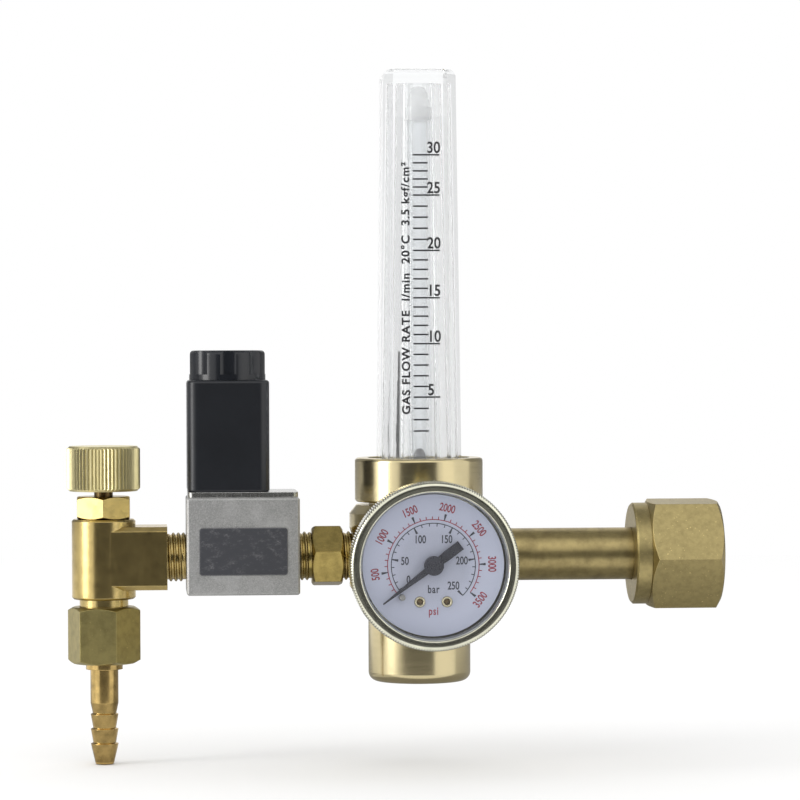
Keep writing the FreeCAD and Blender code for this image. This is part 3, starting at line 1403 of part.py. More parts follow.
def check_and_write():
    """Stops on a failed feature, a bad solid or a cut that removed nothing, then writes one file a piece."""
    for thing in doc.Objects:
        if {"Invalid", "Error"} & set(thing.State):
            raise RuntimeError(f"{thing.Label} failed: {thing.State}")
        cuts = thing.TypeId.startswith(tuple(f"PartDesign::{kind}" for kind in CUT_KINDS))
        if cuts and thing.BaseFeature.Shape.Volume - thing.Shape.Volume < SMALLEST_CUT:
            raise RuntimeError(f"{thing.Label} in {thing.getParentGeoFeatureGroup().Label} cuts nothing")
    for piece in pieces:
        if piece.Shape.isNull() or not piece.Shape.isValid():
            raise RuntimeError(f"{piece.Label} is not a valid solid")
    os.makedirs("parts", exist_ok=True)
    for piece in pieces:
        piece.Shape.exportStep(os.path.join("parts", f"{piece.Label}.step"))


inlet_nut()
inlet_nipple()
regulator_body()
spring_bonnet()
adjusting_screw()
regulating_valve()
cover_nut()
flow_cover()
metering_tube()
tube_stop()
gauge_stem()
gauge_case()
gauge_front()
gauge_dial()
gauge_pointer()
gauge_movement()
outlet_adapter()
valve_block()
coil_base_plate()
coil_housing()
armature()
coil_nut()
needle_valve_body()
needle_stem()
control_knob()
union_nut()
hose_barb()
doc.recompute()
check_and_write()
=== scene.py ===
"""Looks for the gas flow meter regulator: finishes, prints, threads and knurling.

Metres, in the part's own frame: the inlet points along +X, +Z is up and the gauge faces -Y.
"""
import json
import math

import bmesh
import bpy
from mathutils import Matrix, Vector


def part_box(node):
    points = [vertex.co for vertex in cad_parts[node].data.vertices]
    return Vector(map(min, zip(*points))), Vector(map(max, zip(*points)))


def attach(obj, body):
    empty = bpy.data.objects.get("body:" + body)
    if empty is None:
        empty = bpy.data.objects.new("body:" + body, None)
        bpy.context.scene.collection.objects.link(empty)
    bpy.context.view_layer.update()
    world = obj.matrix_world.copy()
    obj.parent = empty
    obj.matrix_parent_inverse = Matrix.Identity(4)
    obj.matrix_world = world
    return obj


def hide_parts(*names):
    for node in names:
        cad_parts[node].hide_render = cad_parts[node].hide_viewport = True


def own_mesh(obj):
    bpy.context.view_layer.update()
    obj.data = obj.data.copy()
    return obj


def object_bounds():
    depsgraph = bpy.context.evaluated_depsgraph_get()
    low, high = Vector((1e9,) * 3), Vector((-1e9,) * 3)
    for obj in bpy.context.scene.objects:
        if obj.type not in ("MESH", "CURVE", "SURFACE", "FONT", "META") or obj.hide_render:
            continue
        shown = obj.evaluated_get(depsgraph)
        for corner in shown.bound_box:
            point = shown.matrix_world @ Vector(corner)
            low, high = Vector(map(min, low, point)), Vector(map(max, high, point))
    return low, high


MM = 0.001

# Camera, from the photograph, with angles in radians
VIEW_TARGET = Vector((-85.97, 0, 41.7)) * MM
VIEW_DISTANCE = 940 * MM
VIEW_YAW = 0.075
VIEW_PITCH = 0.015
VIEW_ROLL = math.radians(-0.22)
SENSOR = 36
LENS = 157.4

# Flow scale, printed on the cover's front face
COVER_FOOT_HALF = 10.85 * MM
COVER_TAPER = 1.2 * MM
PRINT_LIFT = 0.03 * MM
# Heights in millimetres of the lowest mark and the numbered ones
SCALE_HEIGHTS = {2: 33.6, 5: 42.6, 10: 56.8, 15: 69.0, 20: 81.6, 25: 96.3, 30: 107.0}
SCALE_STEP = 5
TICK_LEFT = -2.1 * MM
TICK_SHORT = 1.9 * MM
TICK_LONG = 5.0 * MM
TICK_THICKNESS = 0.42 * MM
SCALE_DIGITS = 4.2 * MM
SCALE_DIGIT_LEFT = 1.65 * MM
SCALE_NARROW = 0.86
SCALE_DIGIT_GAP = 0.3 * MM
CAP_SHARE = 0.36
CAPTION = "GAS FLOW RATE  l/min  20°C  3.5 kgf/cm²"
CAPTION_X = -4.0 * MM
CAPTION_FOOT = 38.0 * MM
CAPTION_LENGTH = 67.0 * MM
CAPTION_SIZE = 3.0 * MM
CAPTION_BOLD = 0.03
BOLD = 0.020
WORD_SPACING = 1.15

# Gauge dial, with angles in degrees, counted from the right and turning left
DIAL_ZERO = 226
DIAL_START = 217
ZERO_PLACE = 210
DEGREES_PER_BAR = 1.088
BAR_FULL = 250
BAR_STEP = 10
BAR_NUMBERED = 50
PSI_PER_BAR = 14.504
PSI_FULL = 3500
PSI_STEP = 100
PSI_NUMBERED = 500
BAR_ARC = 10.8 * MM
PSI_ARC = 11.75 * MM
BAR_NUMBER_RADIUS = 7.4 * MM
PSI_NUMBER_RADIUS = 15.0 * MM
MINOR_TICK = 0.8 * MM
MAJOR_TICK = 1.7 * MM
LINE = 0.23 * MM
WEDGE = 0.65 * MM
DIAL_DIGITS = 2.85 * MM
DIAL_NARROW = 0.72
BAR_WORD_DROP = -6.2 * MM
PSI_WORD_DROP = -11.8 * MM

# Threads, the gauge's bezel and its eyelets
# A ridge in section: shares of its rise, and their places along one pitch
THREAD_FORM = (
    (0, -0.5), (0.15, -0.38), (0.9, -0.16), (1, -0.05),
    (1, 0.05), (0.9, 0.16), (0.15, 0.38), (0, 0.5),
)
THREAD_STEPS = 48
PIPE_PITCH = 1.337 * MM
PIPE_MAJOR = 6.55 * MM
PIPE_ROOT = 5.9 * MM
NUT_PITCH = 1.814 * MM
NUT_THREAD_RISE = 0.4 * MM
NUT_THREAD_LENGTH = 12.4 * MM
NUT_BORE = 9.5 * MM
ADAPTER_SHOW = 3.5 * MM
ADAPTER_HEX = 8.3 * MM
ADAPTER_NECK = 3.7 * MM
SHANK_SHOW = 5.1 * MM
BEZEL_TEETH = 190
BEZEL_TOOTH = 0.2 * MM
BEZEL_OPENING = 18.72 * MM
BEZEL_ROUND = 1.4 * MM
BEZEL_RIDGE = 0.7 * MM
RIDGE_FADE = 0.15 * MM
BEZEL_ROUND_STEPS = 8
RIDGE_STEPS = 5
BEZEL_INNER_ROUND = 0.55 * MM
BEZEL_LIP_STEPS = 6
BEZEL_FACE_SINK = 0.06 * MM
EYELET_HOLE_SHARE = 0.52
EYELET_RIM_STEPS = 8
EYELET_STEPS = 32
CASE_GAP = 0.05 * MM

# Clear cover and metering tube, with sizes as in the part's source
COVER_CORNER = 3.1 * MM
COVER_ROUND = 2.2 * MM
COVER_ROOF = 3.8 * MM
COVER_FLANGE = 2.7 * MM
COVER_FOOT_BORE = 8.0 * MM
COVER_TOP_BORE = 6.2 * MM
TUBE_FOOT_BORE = 2.65 * MM
TUBE_TOP_BORE = 3.5 * MM
# How finely they are cut, and the bend from which an edge stays sharp
FLAT_STEPS = 40
CORNER_STEPS = 8
FILLET_STEPS = 8
SHARP_EDGE = math.radians(25)

# Bare plate on the valve block
PLATE_WIDTH = 23.4 * MM
PLATE_HEIGHT = 12.6 * MM
PLATE_THICKNESS = 0.25 * MM
PLATE_CORNER = 0.8 * MM
PLATE_CORNER_STEPS = 6
PLATE_MIDDLE = 1.9 * MM

# Finishes: grains count marks a metre, shades multiply a colour
SPECK_GRAIN = 2300
SPECK_SHADE = 2.2
# Painted shade between the bezel's ridges
SHADOW_SHADE = 0.35
# Painted shade in grooves and corners: how dark it is and how far it reaches
CREVICE_SHADE_DARK = 0.12
CREVICE_SHADE_REACH = 0.6 * MM
MARK_DEPTH = 0.02 * MM
PLASTIC_GRAIN = 2500
HAZE_GRAIN = 60
HAZE_SHADE = 1.5
STREAK_GRAIN = 90
WAVE_DEPTH = 0.05 * MM
INK_GRAIN = 900
INK_SHADE = 1.35
ENAMEL_GRAIN = 80
ENAMEL_DEEP = (0.35, 0.375, 0.475)
ENAMEL = (0.40, 0.42, 0.52)
# Painted light: paler enamel towards the rim, between these distances from the dial's middle
ENAMEL_RIM_LIGHT = (0.53, 0.57, 0.73)
RIM_LIGHT_START = 8 * MM
RIM_LIGHT_END = 18.2 * MM
BLAST_GRAIN = 3600
RUB_GRAIN = 130
SCUFF_GRAIN = 420
WIRE_SCALE = 600

# How close a finish's marks lie along X, Y and Z, as factors on its grain
ROUND_Z = (0.25, 0.25, 4)
ROUND_X = (4, 0.25, 0.25)
UP_Z = (3, 3, 0.2)
SHEARED = (4, 0.2, 0.1)
UP_STREAKS = (1, 1, 0.15)
SCUFFED = (1, 1, 1.6)
# The directions that count in a distance from an axis along Y
ACROSS_Y = (1, 0, 1)

# Stage: lengths in metres, and the floor's share of white
FLOOR_REACH = 0.9
FLOOR_GAP = 0.2 * MM
FLOOR_LEVEL = 0.97
CARD_LIFT = 0.5 * MM
CARD_LEFT = -0.72
CARD_RIGHT = 0.35
CARD_FRONT = -0.8
CARD_TOP = 0.25
NEAR_RIGHT = (0.01, -0.16)
NEAR_LEFT = (-0.28, -0.12)
WALL_DISTANCE = 1.5
WALL_TOP = 1.2
EDGE_DISTANCE = 1.45
ROOF_LEFT = -0.8
ROOF_RIGHT = 0.6
ROOF_BACK = 0.9
UNDER_FRONT = -0.035
UNDER_BACK = 0.5
UNDER_RIGHT = 0.3
TAIL_LEFT = -0.29
TAIL_RIGHT = -0.13
TAIL_BACK = 0.06

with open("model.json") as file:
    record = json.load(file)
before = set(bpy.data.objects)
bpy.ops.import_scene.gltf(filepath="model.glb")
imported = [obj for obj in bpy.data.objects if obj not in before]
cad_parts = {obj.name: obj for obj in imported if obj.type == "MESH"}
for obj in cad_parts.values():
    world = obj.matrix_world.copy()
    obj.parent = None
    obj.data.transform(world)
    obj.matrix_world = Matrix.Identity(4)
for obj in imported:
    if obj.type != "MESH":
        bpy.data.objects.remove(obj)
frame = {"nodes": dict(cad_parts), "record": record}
cad_low, cad_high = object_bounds()
nodes = frame["nodes"]
# Turns flat lettering to stand upright and face the viewer
FACE_FRONT = Matrix.Rotation(math.radians(90), 4, "X")


def middle(node):
    low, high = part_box(node)
    return (low + high) / 2


# Materials
def new_material(name):
    material = bpy.data.materials.new(name)
    material.use_nodes = True
    return material, material.node_tree, material.node_tree.nodes["Principled BSDF"]


def add_node(tree, kind, inputs=None, **settings):
    node = tree.nodes.new(kind)
    for name, setting in settings.items():
        setattr(node, name, setting)
    for name, source in (inputs or {}).items():
        if isinstance(source, bpy.types.NodeSocket):
            tree.links.new(source, node.inputs[name])
        else:
            node.inputs[name].default_value = source
    return node


def object_place(tree):
    return add_node(tree, "ShaderNodeTexCoord").outputs["Object"]


def noise(tree, scale, detail=3.0, stretch=(1, 1, 1), roughness=0.55):
    """Noise in the part's own metres, so scale counts features a metre."""
    moved = add_node(tree, "ShaderNodeMapping", {"Vector": object_place(tree), "Scale": stretch})
    pattern = add_node(tree, "ShaderNodeTexNoise", {
        "Vector": moved.outputs["Vector"], "Scale": scale, "Detail": detail, "Roughness": roughness,
    })
    return pattern.outputs["Fac"]


def ramp(tree, source, stops):
    node = add_node(tree, "ShaderNodeValToRGB", {"Fac": source})
    elements = node.color_ramp.elements
    while len(elements) < len(stops):
        elements.new(0.5)
    for element, (place, colour) in zip(elements, stops):
        element.position = place
        element.color = (*colour, 1)
    return node.outputs["Color"]


def spread(tree, source, low, high, start=0.0, end=1.0):
    node = add_node(tree, "ShaderNodeMapRange", {
        "Value": source, "From Min": start, "From Max": end, "To Min": low, "To Max": high,
    })
    return node.outputs["Result"]


def blend(tree, factor, one, other):
    node = add_node(tree, "ShaderNodeMix", data_type="RGBA")
    # A mix node has sockets for every kind of data, and these are the ones for colours
    factor_socket, one_socket, other_socket = node.inputs[0], node.inputs[6], node.inputs[7]
    mixed = node.outputs[2]
    tree.links.new(factor, factor_socket)
    tree.links.new(one, one_socket)
    other_socket.default_value = (*other, 1)
    return mixed


def shade(colour, factor):
    return tuple(min(channel * factor, 1) for channel in colour)


def rounded_normal(tree, radius):
    return add_node(tree, "ShaderNodeBevel", {"Radius": radius}, samples=6).outputs["Normal"]


def edge_wear(tree, rounded):
    """One along edges, for worn edges and for their painted highlight, nothing on the flats."""
    plain = add_node(tree, "ShaderNodeNewGeometry").outputs["Normal"]
    match = add_node(tree, "ShaderNodeVectorMath", operation="DOT_PRODUCT")
    tree.links.new(rounded, match.inputs[0])
    tree.links.new(plain, match.inputs[1])
    return spread(tree, match.outputs["Value"], low=1, high=0, start=0.75, end=0.99)


def bump(tree, shader, source, strength, distance, normal=None):
    inputs = {"Height": source, "Strength": strength, "Distance": distance}
    if normal:
        inputs["Normal"] = normal
    node = add_node(tree, "ShaderNodeBump", inputs)
    tree.links.new(node.outputs["Normal"], shader.inputs["Normal"])


def math_node(tree, operation, one, other):
    node = add_node(tree, "ShaderNodeMath", operation=operation)
    for socket, source in zip(node.inputs, (one, other)):
        if isinstance(source, bpy.types.NodeSocket):
            tree.links.new(source, socket)
        else:
            socket.default_value = source
    return node.outputs[0]


def crevices(tree, reach):
    """Painted shade: one deep in grooves and corners, nothing in the open."""
    shadowed = add_node(tree, "ShaderNodeAmbientOcclusion", {"Distance": reach}, samples=8)
    return spread(tree, shadowed.outputs["AO"], low=1, high=0, start=0.35, end=0.85)


def out_from(tree, centre, across):
    """The distance from an axis through a centre, across which the given directions count."""
    moved = add_node(tree, "ShaderNodeVectorMath", operation="SUBTRACT")
    tree.links.new(object_place(tree), moved.inputs[0])
    moved.inputs[1].default_value = centre
    flat = add_node(tree, "ShaderNodeVectorMath", operation="MULTIPLY")
    tree.links.new(moved.outputs[0], flat.inputs[0])
    flat.inputs[1].default_value = across
    length = add_node(tree, "ShaderNodeVectorMath", operation="LENGTH")
    tree.links.new(flat.outputs[0], length.inputs[0])
    return length.outputs["Value"]


def bezel_ridges(tree):
    """Painted shade: one between the ridges of the gauge's knurled rim, nothing on its face."""
    low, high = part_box("gauge_bezel")
    centre = (low + high) / 2
    moved = add_node(tree, "ShaderNodeVectorMath", operation="SUBTRACT")
    tree.links.new(object_place(tree), moved.inputs[0])
    moved.inputs[1].default_value = centre
    parts = add_node(tree, "ShaderNodeSeparateXYZ", {"Vector": moved.outputs[0]})
    turn = math_node(tree, "ARCTAN2", parts.outputs["Z"], parts.outputs["X"])
    place = math_node(tree, "MULTIPLY", turn, BEZEL_TEETH / (2 * math.pi))
    between = spread(tree, math_node(tree, "PINGPONG", place, 0.5), low=0, high=1, start=0.15, end=0.5)
    rim = (high.x - low.x) / 2 - BEZEL_RIDGE
    on_rim = spread(tree, out_from(tree, centre, ACROSS_Y), low=0, high=1, start=rim, end=rim + RIDGE_FADE)
    return math_node(tree, "MULTIPLY", between, on_rim)


def metal(name, colour, roughness, patina=0.75, blotch=120, grain=900, stretch=(1, 1, 1), relief=0.15,
          bevel=0.25, wear=0.55, specks=0.0, crevice_shade=0.45, shadow=None):
    """A metal with slow tarnish, finer marks drawn out by stretch, worn edges, painted shade in corners and
    where a shadow mask is given, and specks.

    Blotch and grain count marks a metre, and bevel is in millimetres.
    """
    material, tree, shader = new_material(name)
    tarnish = noise(tree, blotch, detail=7, roughness=0.62)
    colours = ramp(tree, tarnish, [(0.32, shade(colour, patina)), (0.60, colour)])
    rounded = rounded_normal(tree, bevel * MM)
    worn = spread(tree, edge_wear(tree, rounded), low=0, high=wear)
    colours = blend(tree, worn, colours, shade(colour, 1 + wear))
    if specks:
        dots = spread(tree, noise(tree, SPECK_GRAIN, detail=1), low=0, high=specks, start=0.72, end=0.77)
        colours = blend(tree, dots, colours, shade(colour, SPECK_SHADE))
    # Painted shade where the given shadow mask is one
    if shadow:
        colours = blend(tree, shadow(tree), colours, shade(colour, SHADOW_SHADE))
    # Painted shade in grooves and corners, darker where ambient light is occluded
    crevice_shade_share = spread(tree, crevices(tree, CREVICE_SHADE_REACH), low=0, high=crevice_shade)
    colours = blend(tree, crevice_shade_share, colours, shade(colour, CREVICE_SHADE_DARK))
    tree.links.new(colours, shader.inputs["Base Color"])
    shader.inputs["Metallic"].default_value = 1
    marks = noise(tree, grain, detail=4, stretch=stretch)
    roughnesses = spread(tree, marks, low=roughness * 0.75, high=roughness * 1.3)
    tree.links.new(roughnesses, shader.inputs["Roughness"])
    bump(tree, shader, marks, relief, MARK_DEPTH, rounded)
    return material


def plastic(name, colour, roughness, relief=0.05, gloss=0.5):
    """A moulded plastic with a fine texture and a slow haze."""
    material, tree, shader = new_material(name)
    texture = noise(tree, PLASTIC_GRAIN, detail=4)
    haze = noise(tree, HAZE_GRAIN, detail=5)
    colours = ramp(tree, haze, [(0.3, colour), (0.75, shade(colour, HAZE_SHADE))])
    tree.links.new(colours, shader.inputs["Base Color"])
    roughnesses = spread(tree, texture, low=roughness * 0.8, high=roughness * 1.2)
    tree.links.new(roughnesses, shader.inputs["Roughness"])
    shader.inputs["Specular IOR Level"].default_value = gloss
    bump(tree, shader, texture, relief, MARK_DEPTH)
    return material


def misty_plastic(name, colour, cover):
    """A clear moulding seen inside another, as a faint pale shape."""
    material = plastic(name, colour, roughness=0.2)
    material.node_tree.nodes["Principled BSDF"].inputs["Alpha"].default_value = cover
    return material


def clear(name, colour, ior, waves=0.0, haze=0.0):
    """A clear piece, for plastics with faint waves and a little haze."""
    material, tree, shader = new_material(name)
    streaks = noise(tree, STREAK_GRAIN, detail=2, stretch=UP_STREAKS)
    shader.inputs["Base Color"].default_value = (*colour, 1)
    shader.inputs["Transmission Weight"].default_value = 1 - haze
    shader.inputs["IOR"].default_value = ior
    shader.inputs["Roughness"].default_value = 0
    bump(tree, shader, streaks, waves, WAVE_DEPTH)
    return material


def ink(name, colour):
    """Printing ink, worn a little paler in places."""
    material, tree, shader = new_material(name)
    wear = noise(tree, INK_GRAIN, detail=4)
    colours = ramp(tree, wear, [(0.2, shade(colour, INK_SHADE)), (0.6, colour)])
    tree.links.new(colours, shader.inputs["Base Color"])
    shader.inputs["Roughness"].default_value = 0.5
    return material


def dial_paint():
    """Pale lilac enamel, painted paler towards the rim as painted light against the bezel's shade there."""
    material, tree, shader = new_material("dial_paint")
    out = out_from(tree, middle("gauge_dial"), ACROSS_Y)
    # Painted light towards the rim, against the bezel's shade
    rim = spread(tree, out, low=0, high=1, start=RIM_LIGHT_START, end=RIM_LIGHT_END)
    haze = noise(tree, ENAMEL_GRAIN, detail=4)
    colours = ramp(tree, haze, [(0.3, ENAMEL_DEEP), (0.7, ENAMEL)])
    colours = blend(tree, rim, colours, ENAMEL_RIM_LIGHT)
    tree.links.new(colours, shader.inputs["Base Color"])
    shader.inputs["Roughness"].default_value = 0.4
    return material


def blasted_metal():
    """Blasted and plated block, grey with fine bright and dark specks, and worn edges painted near white,
    partly as painted highlight.
    """
    pit, plain, peak = (0.26, 0.26, 0.26), (0.455, 0.455, 0.45), (0.74, 0.74, 0.73)
    rubbed_tone, edge_tone = (0.66, 0.66, 0.655), (0.95, 0.95, 0.94)
    material, tree, shader = new_material("blasted_metal")
    specks = noise(tree, BLAST_GRAIN, detail=6, roughness=0.8)
    patches = noise(tree, RUB_GRAIN, detail=6, roughness=0.7)
    rounded = rounded_normal(tree, 0.3 * MM)
    colours = ramp(tree, specks, [(0.28, pit), (0.5, plain), (0.74, peak)])
    rubbed = spread(tree, patches, low=0, high=0.6, start=0.46, end=0.70)
    colours = blend(tree, rubbed, colours, rubbed_tone)
    # Worn edges, painted near white, partly as a painted highlight
    edges = spread(tree, edge_wear(tree, rounded), low=0, high=0.9)
    colours = blend(tree, edges, colours, edge_tone)
    tree.links.new(colours, shader.inputs["Base Color"])
    shader.inputs["Metallic"].default_value = 0.75
    tree.links.new(spread(tree, specks, low=0.34, high=0.6), shader.inputs["Roughness"])
    bump(tree, shader, specks, strength=0.28, distance=0.03 * MM, normal=rounded)
    return material


def scuffed_plate():
    """Dark anodised plate, rubbed pale in patches and along its edges."""
    dark, scuffed, bare = (0.066, 0.068, 0.078), (0.12, 0.12, 0.13), (0.40, 0.40, 0.40)
    edge_tone = (0.5, 0.5, 0.5)
    material, tree, shader = new_material("scuffed_plate")
    scuffs = noise(tree, SCUFF_GRAIN, detail=10, stretch=SCUFFED, roughness=0.82)
    rounded = rounded_normal(tree, 0.5 * MM)
    colours = ramp(tree, scuffs, [(0.52, dark), (0.62, scuffed), (0.74, bare)])
    edges = spread(tree, edge_wear(tree, rounded), low=0, high=0.4)
    colours = blend(tree, edges, colours, edge_tone)
    tree.links.new(colours, shader.inputs["Base Color"])
    shader.inputs["Metallic"].default_value = 0.35
    tree.links.new(spread(tree, scuffs, low=0.32, high=0.55), shader.inputs["Roughness"])
    bump(tree, shader, scuffs, strength=0.1, distance=MARK_DEPTH, normal=rounded)
    return material


def copper_wire():
    """Fine turns of enamelled wire, wound about Z."""
    gap, wire = (0.22, 0.08, 0.03), (0.62, 0.27, 0.12)
    material, tree, shader = new_material("copper_wire")
    inputs = {"Vector": object_place(tree), "Scale": WIRE_SCALE}
    turns = add_node(tree, "ShaderNodeTexWave", inputs, bands_direction="Z").outputs["Fac"]
    tree.links.new(ramp(tree, turns, [(0.1, gap), (0.6, wire)]), shader.inputs["Base Color"])
    shader.inputs["Metallic"].default_value = 1
    shader.inputs["Roughness"].default_value = 0.35
    bump(tree, shader, turns, strength=0.4, distance=0.1 * MM)
    return material


FINISHES = {
    "polished_brass": metal("polished_brass", (0.70, 0.60, 0.355), roughness=0.19, patina=0.88, blotch=60,
                            grain=500, stretch=ROUND_Z, relief=0.05),
    "satin_brass": metal("satin_brass", (0.45, 0.36, 0.165), roughness=0.33, patina=0.6, blotch=210,
                         grain=500, stretch=ROUND_X, relief=0.08),
    "bright_brass": metal("bright_brass", (0.64, 0.49, 0.20), roughness=0.22, patina=0.74, blotch=260,
                          relief=0.10, specks=0.35),
    "dull_brass": metal("dull_brass", (0.44, 0.37, 0.15), roughness=0.34, patina=0.76, blotch=420,
                        stretch=UP_Z, relief=0.25, specks=0.4),
    "warm_brass": metal("warm_brass", (0.64, 0.45, 0.17), roughness=0.15, patina=0.55, blotch=330,
                        grain=600, stretch=ROUND_Z, relief=0.1),
    "inner_brass": metal("inner_brass", (0.46, 0.36, 0.15), roughness=0.28, patina=0.7),
    "sintered_bronze": metal("sintered_bronze", (0.42, 0.27, 0.12), roughness=0.55, patina=0.6, blotch=900,
                             grain=4000, relief=0.6),
    "clear_plastic": clear("clear_plastic", (0.955, 0.965, 0.97), ior=1.43, waves=0.0006, haze=0.05),
    "clear_tube": clear("clear_tube", (0.88, 0.89, 0.90), ior=1.45, waves=0.0006, haze=0.03),
    "steel": metal("steel", (0.48, 0.47, 0.46), roughness=0.22, patina=0.8),
    "nickel_plate": metal("nickel_plate", (0.70, 0.70, 0.57), roughness=0.16, patina=0.85, blotch=110,
                          grain=700, relief=0.06),
    "gauge_glass": clear("gauge_glass", (1, 1, 1), ior=1.45),
    "dial_white": dial_paint(),
    "pointer_black": plastic("pointer_black", (0.018, 0.019, 0.030), roughness=0.45, relief=0.02,
                             gloss=0.3),
    "block_metal": blasted_metal(),
    "coil_black": plastic("coil_black", (0.0095, 0.0108, 0.014), roughness=0.3, relief=0.015),
    "copper_winding": copper_wire(),
    "seal_rubber": plastic("seal_rubber", (0.015, 0.016, 0.015), roughness=0.6),
    "seal_nylon": plastic("seal_nylon", (0.72, 0.72, 0.70), roughness=0.45),
}
KNURLED_BRASS = metal("knurled_brass", (0.92, 0.82, 0.45), roughness=0.32, patina=0.9, blotch=190,
                      bevel=0.02, wear=0.1, crevice_shade=0.5)
# Nickel with painted shade between the ridges of its knurled rim
KNURLED_NICKEL = metal("knurled_nickel", (0.82, 0.81, 0.66), roughness=0.16, patina=0.8, blotch=110,
                       grain=700, bevel=0.08, shadow=bezel_ridges)
FLOAT_STEEL = metal("float_steel", (0.17, 0.17, 0.18), roughness=0.12)
SATIN_PIN = metal("satin_pin", (0.30, 0.30, 0.29), roughness=0.4)
EYELET_BRASS = metal("eyelet_brass", (0.62, 0.57, 0.40), roughness=0.2, bevel=0.05)
THREAD_BRASS = metal("thread_brass", (0.47, 0.36, 0.15), roughness=0.26, patina=0.8, blotch=400,
                     bevel=0.1, crevice_shade=0.6)
ADAPTER_BRASS = metal("adapter_brass", (0.45, 0.345, 0.115), roughness=0.22, patina=0.66, blotch=420,
                      stretch=UP_Z, relief=0.12, specks=0.3)
NUT_BRASS = metal("nut_brass", (0.45, 0.365, 0.165), roughness=0.38, patina=0.8, blotch=650, grain=1600,
                  relief=0.3, wear=0.9, specks=0.8)
SHEARED_STEEL = metal("sheared_steel", (0.62, 0.62, 0.60), roughness=0.25, patina=0.7, blotch=500,
                      grain=700, stretch=SHEARED, relief=0.9)
CAP_BLACK = plastic("cap_black", (0.0085, 0.0098, 0.013), roughness=0.19, relief=0.01)
MISTY_PLASTIC = misty_plastic("misty_plastic", (0.42, 0.425, 0.43), cover=0.5)
PALE_PLASTIC = plastic("pale_plastic", (0.80, 0.81, 0.82), roughness=0.3)
# Brass painted dark as painted shade: inside the gauge behind the eyelet holes, and in the gap under the
# knob
SHADE_DARK_BRASS = metal("shade_dark_brass", (0.16, 0.11, 0.05), roughness=0.35)
# The lens gasket in dark grey: partly its own colour, partly painted shade at the lens's edge
GASKET_AND_SHADE_GREY = plastic("gasket_and_shade_grey", (0.17, 0.18, 0.20), roughness=0.5)
BLACK_INK = ink("black_ink", (0.012, 0.012, 0.014))
DIAL_INK = ink("dial_ink", (0.020, 0.024, 0.040))
RED_INK = ink("red_ink", (0.25, 0.018, 0.040))
PLATE_FINISH = scuffed_plate()
CLEAR_SLOTS = ("clear_plastic", "clear_tube", "gauge_glass")
OWN_FINISHES = {
    "control_knob": KNURLED_BRASS,
    "inlet_nut": NUT_BRASS,
    "outlet_adapter": ADAPTER_BRASS,
    "coil_base_plate": SHEARED_STEEL,
    "coil_nut": CAP_BLACK,
    "float_ball": FLOAT_STEEL,
    "tube_stop": MISTY_PLASTIC,
    "tube_guide_ring": MISTY_PLASTIC,
    "cover_gasket": PALE_PLASTIC,
    "lens_gasket": GASKET_AND_SHADE_GREY,
    # Painted shade on the movement frame and on the needle's stem
    "movement_frame": SHADE_DARK_BRASS,
    "needle_stem": SHADE_DARK_BRASS,
    "pointer_stop_pin": SATIN_PIN,
}


def dress_nodes():
    """Gives each node its own finish or its slot's.

    Light passes through clear nodes to what is behind them.
    """
    for entry in frame["record"]["subparts"]:
        name, slot = entry["node"], entry["material_slot"]
        node = nodes[name]
        node.data.materials.clear()
        node.data.materials.append(OWN_FINISHES.get(name, FINISHES[slot]))
        if slot in CLEAR_SLOTS:
            node.visible_shadow = False
            node.visible_diffuse = False


# Pieces
def add_piece(name, mesh, material, body="frame"):
    piece = bpy.data.objects.new(name, mesh)
    bpy.context.scene.collection.objects.link(piece)
    piece.data.materials.append(material)
    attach(piece, body)
    return piece


def mesh_from(name, shape):
    mesh = bpy.data.meshes.new(name)
    shape.to_mesh(mesh)
    shape.free()
    return mesh


def add_quad(shape, corners):
    shape.faces.new([shape.verts.new(corner) for corner in corners])


def add_bar(shape, left, right, height, thickness):
    half = thickness / 2
    add_quad(shape, [(left, height - half, 0), (right, height - half, 0),
                     (right, height + half, 0), (left, height + half, 0)])


def add_text(shape, words, size, place, narrow=1.0, align="CENTER", turn=0.0, length=None, spacing=1.0,
             bold=BOLD):
    """Flat lettering about a point, squeezed sideways by narrow or to fill a length."""
    curve = bpy.data.curves.new("lettering", "FONT")
    curve.body = words
    curve.size = size
    curve.offset = bold * size
    curve.space_character = spacing
    curve.align_x = align
    curve.align_y = "CENTER"
    holder = bpy.data.objects.new("lettering", curve)
    bpy.context.scene.collection.objects.link(holder)
    bpy.context.view_layer.update()
    squeeze = length / holder.dimensions.x if length else narrow
    mesh = bpy.data.meshes.new_from_object(holder.evaluated_get(bpy.context.evaluated_depsgraph_get()))
    turned = Matrix.Translation((*place, 0)) @ Matrix.Rotation(turn, 4, "Z")
    mesh.transform(turned @ Matrix.Diagonal((squeeze, 1, 1, 1)))
    shape.from_mesh(mesh)
    bpy.data.meshes.remove(mesh)
    bpy.data.objects.remove(holder)
    bpy.data.curves.remove(curve)


def on_circle(radius, degrees):
    turn = math.radians(degrees)
    return Vector((radius * math.cos(turn), radius * math.sin(turn), 0))


def add_wedge(shape, inner, outer, degrees, inner_width, outer_width):
    """A radial mark whose two ends may differ in width."""
    side = on_circle(1, degrees + 90)
    near, far = on_circle(inner, degrees), on_circle(outer, degrees)
    add_quad(shape, [near - side * inner_width / 2, far - side * outer_width / 2,
                     far + side * outer_width / 2, near + side * inner_width / 2])


def add_arc(shape, radius, start, end, width):
    for degree in range(math.floor(end), math.floor(start)):
        near, far = max(degree, end), degree + 1
        add_quad(shape, [on_circle(radius - width / 2, near), on_circle(radius + width / 2, near),
                         on_circle(radius + width / 2, far), on_circle(radius - width / 2, far)])


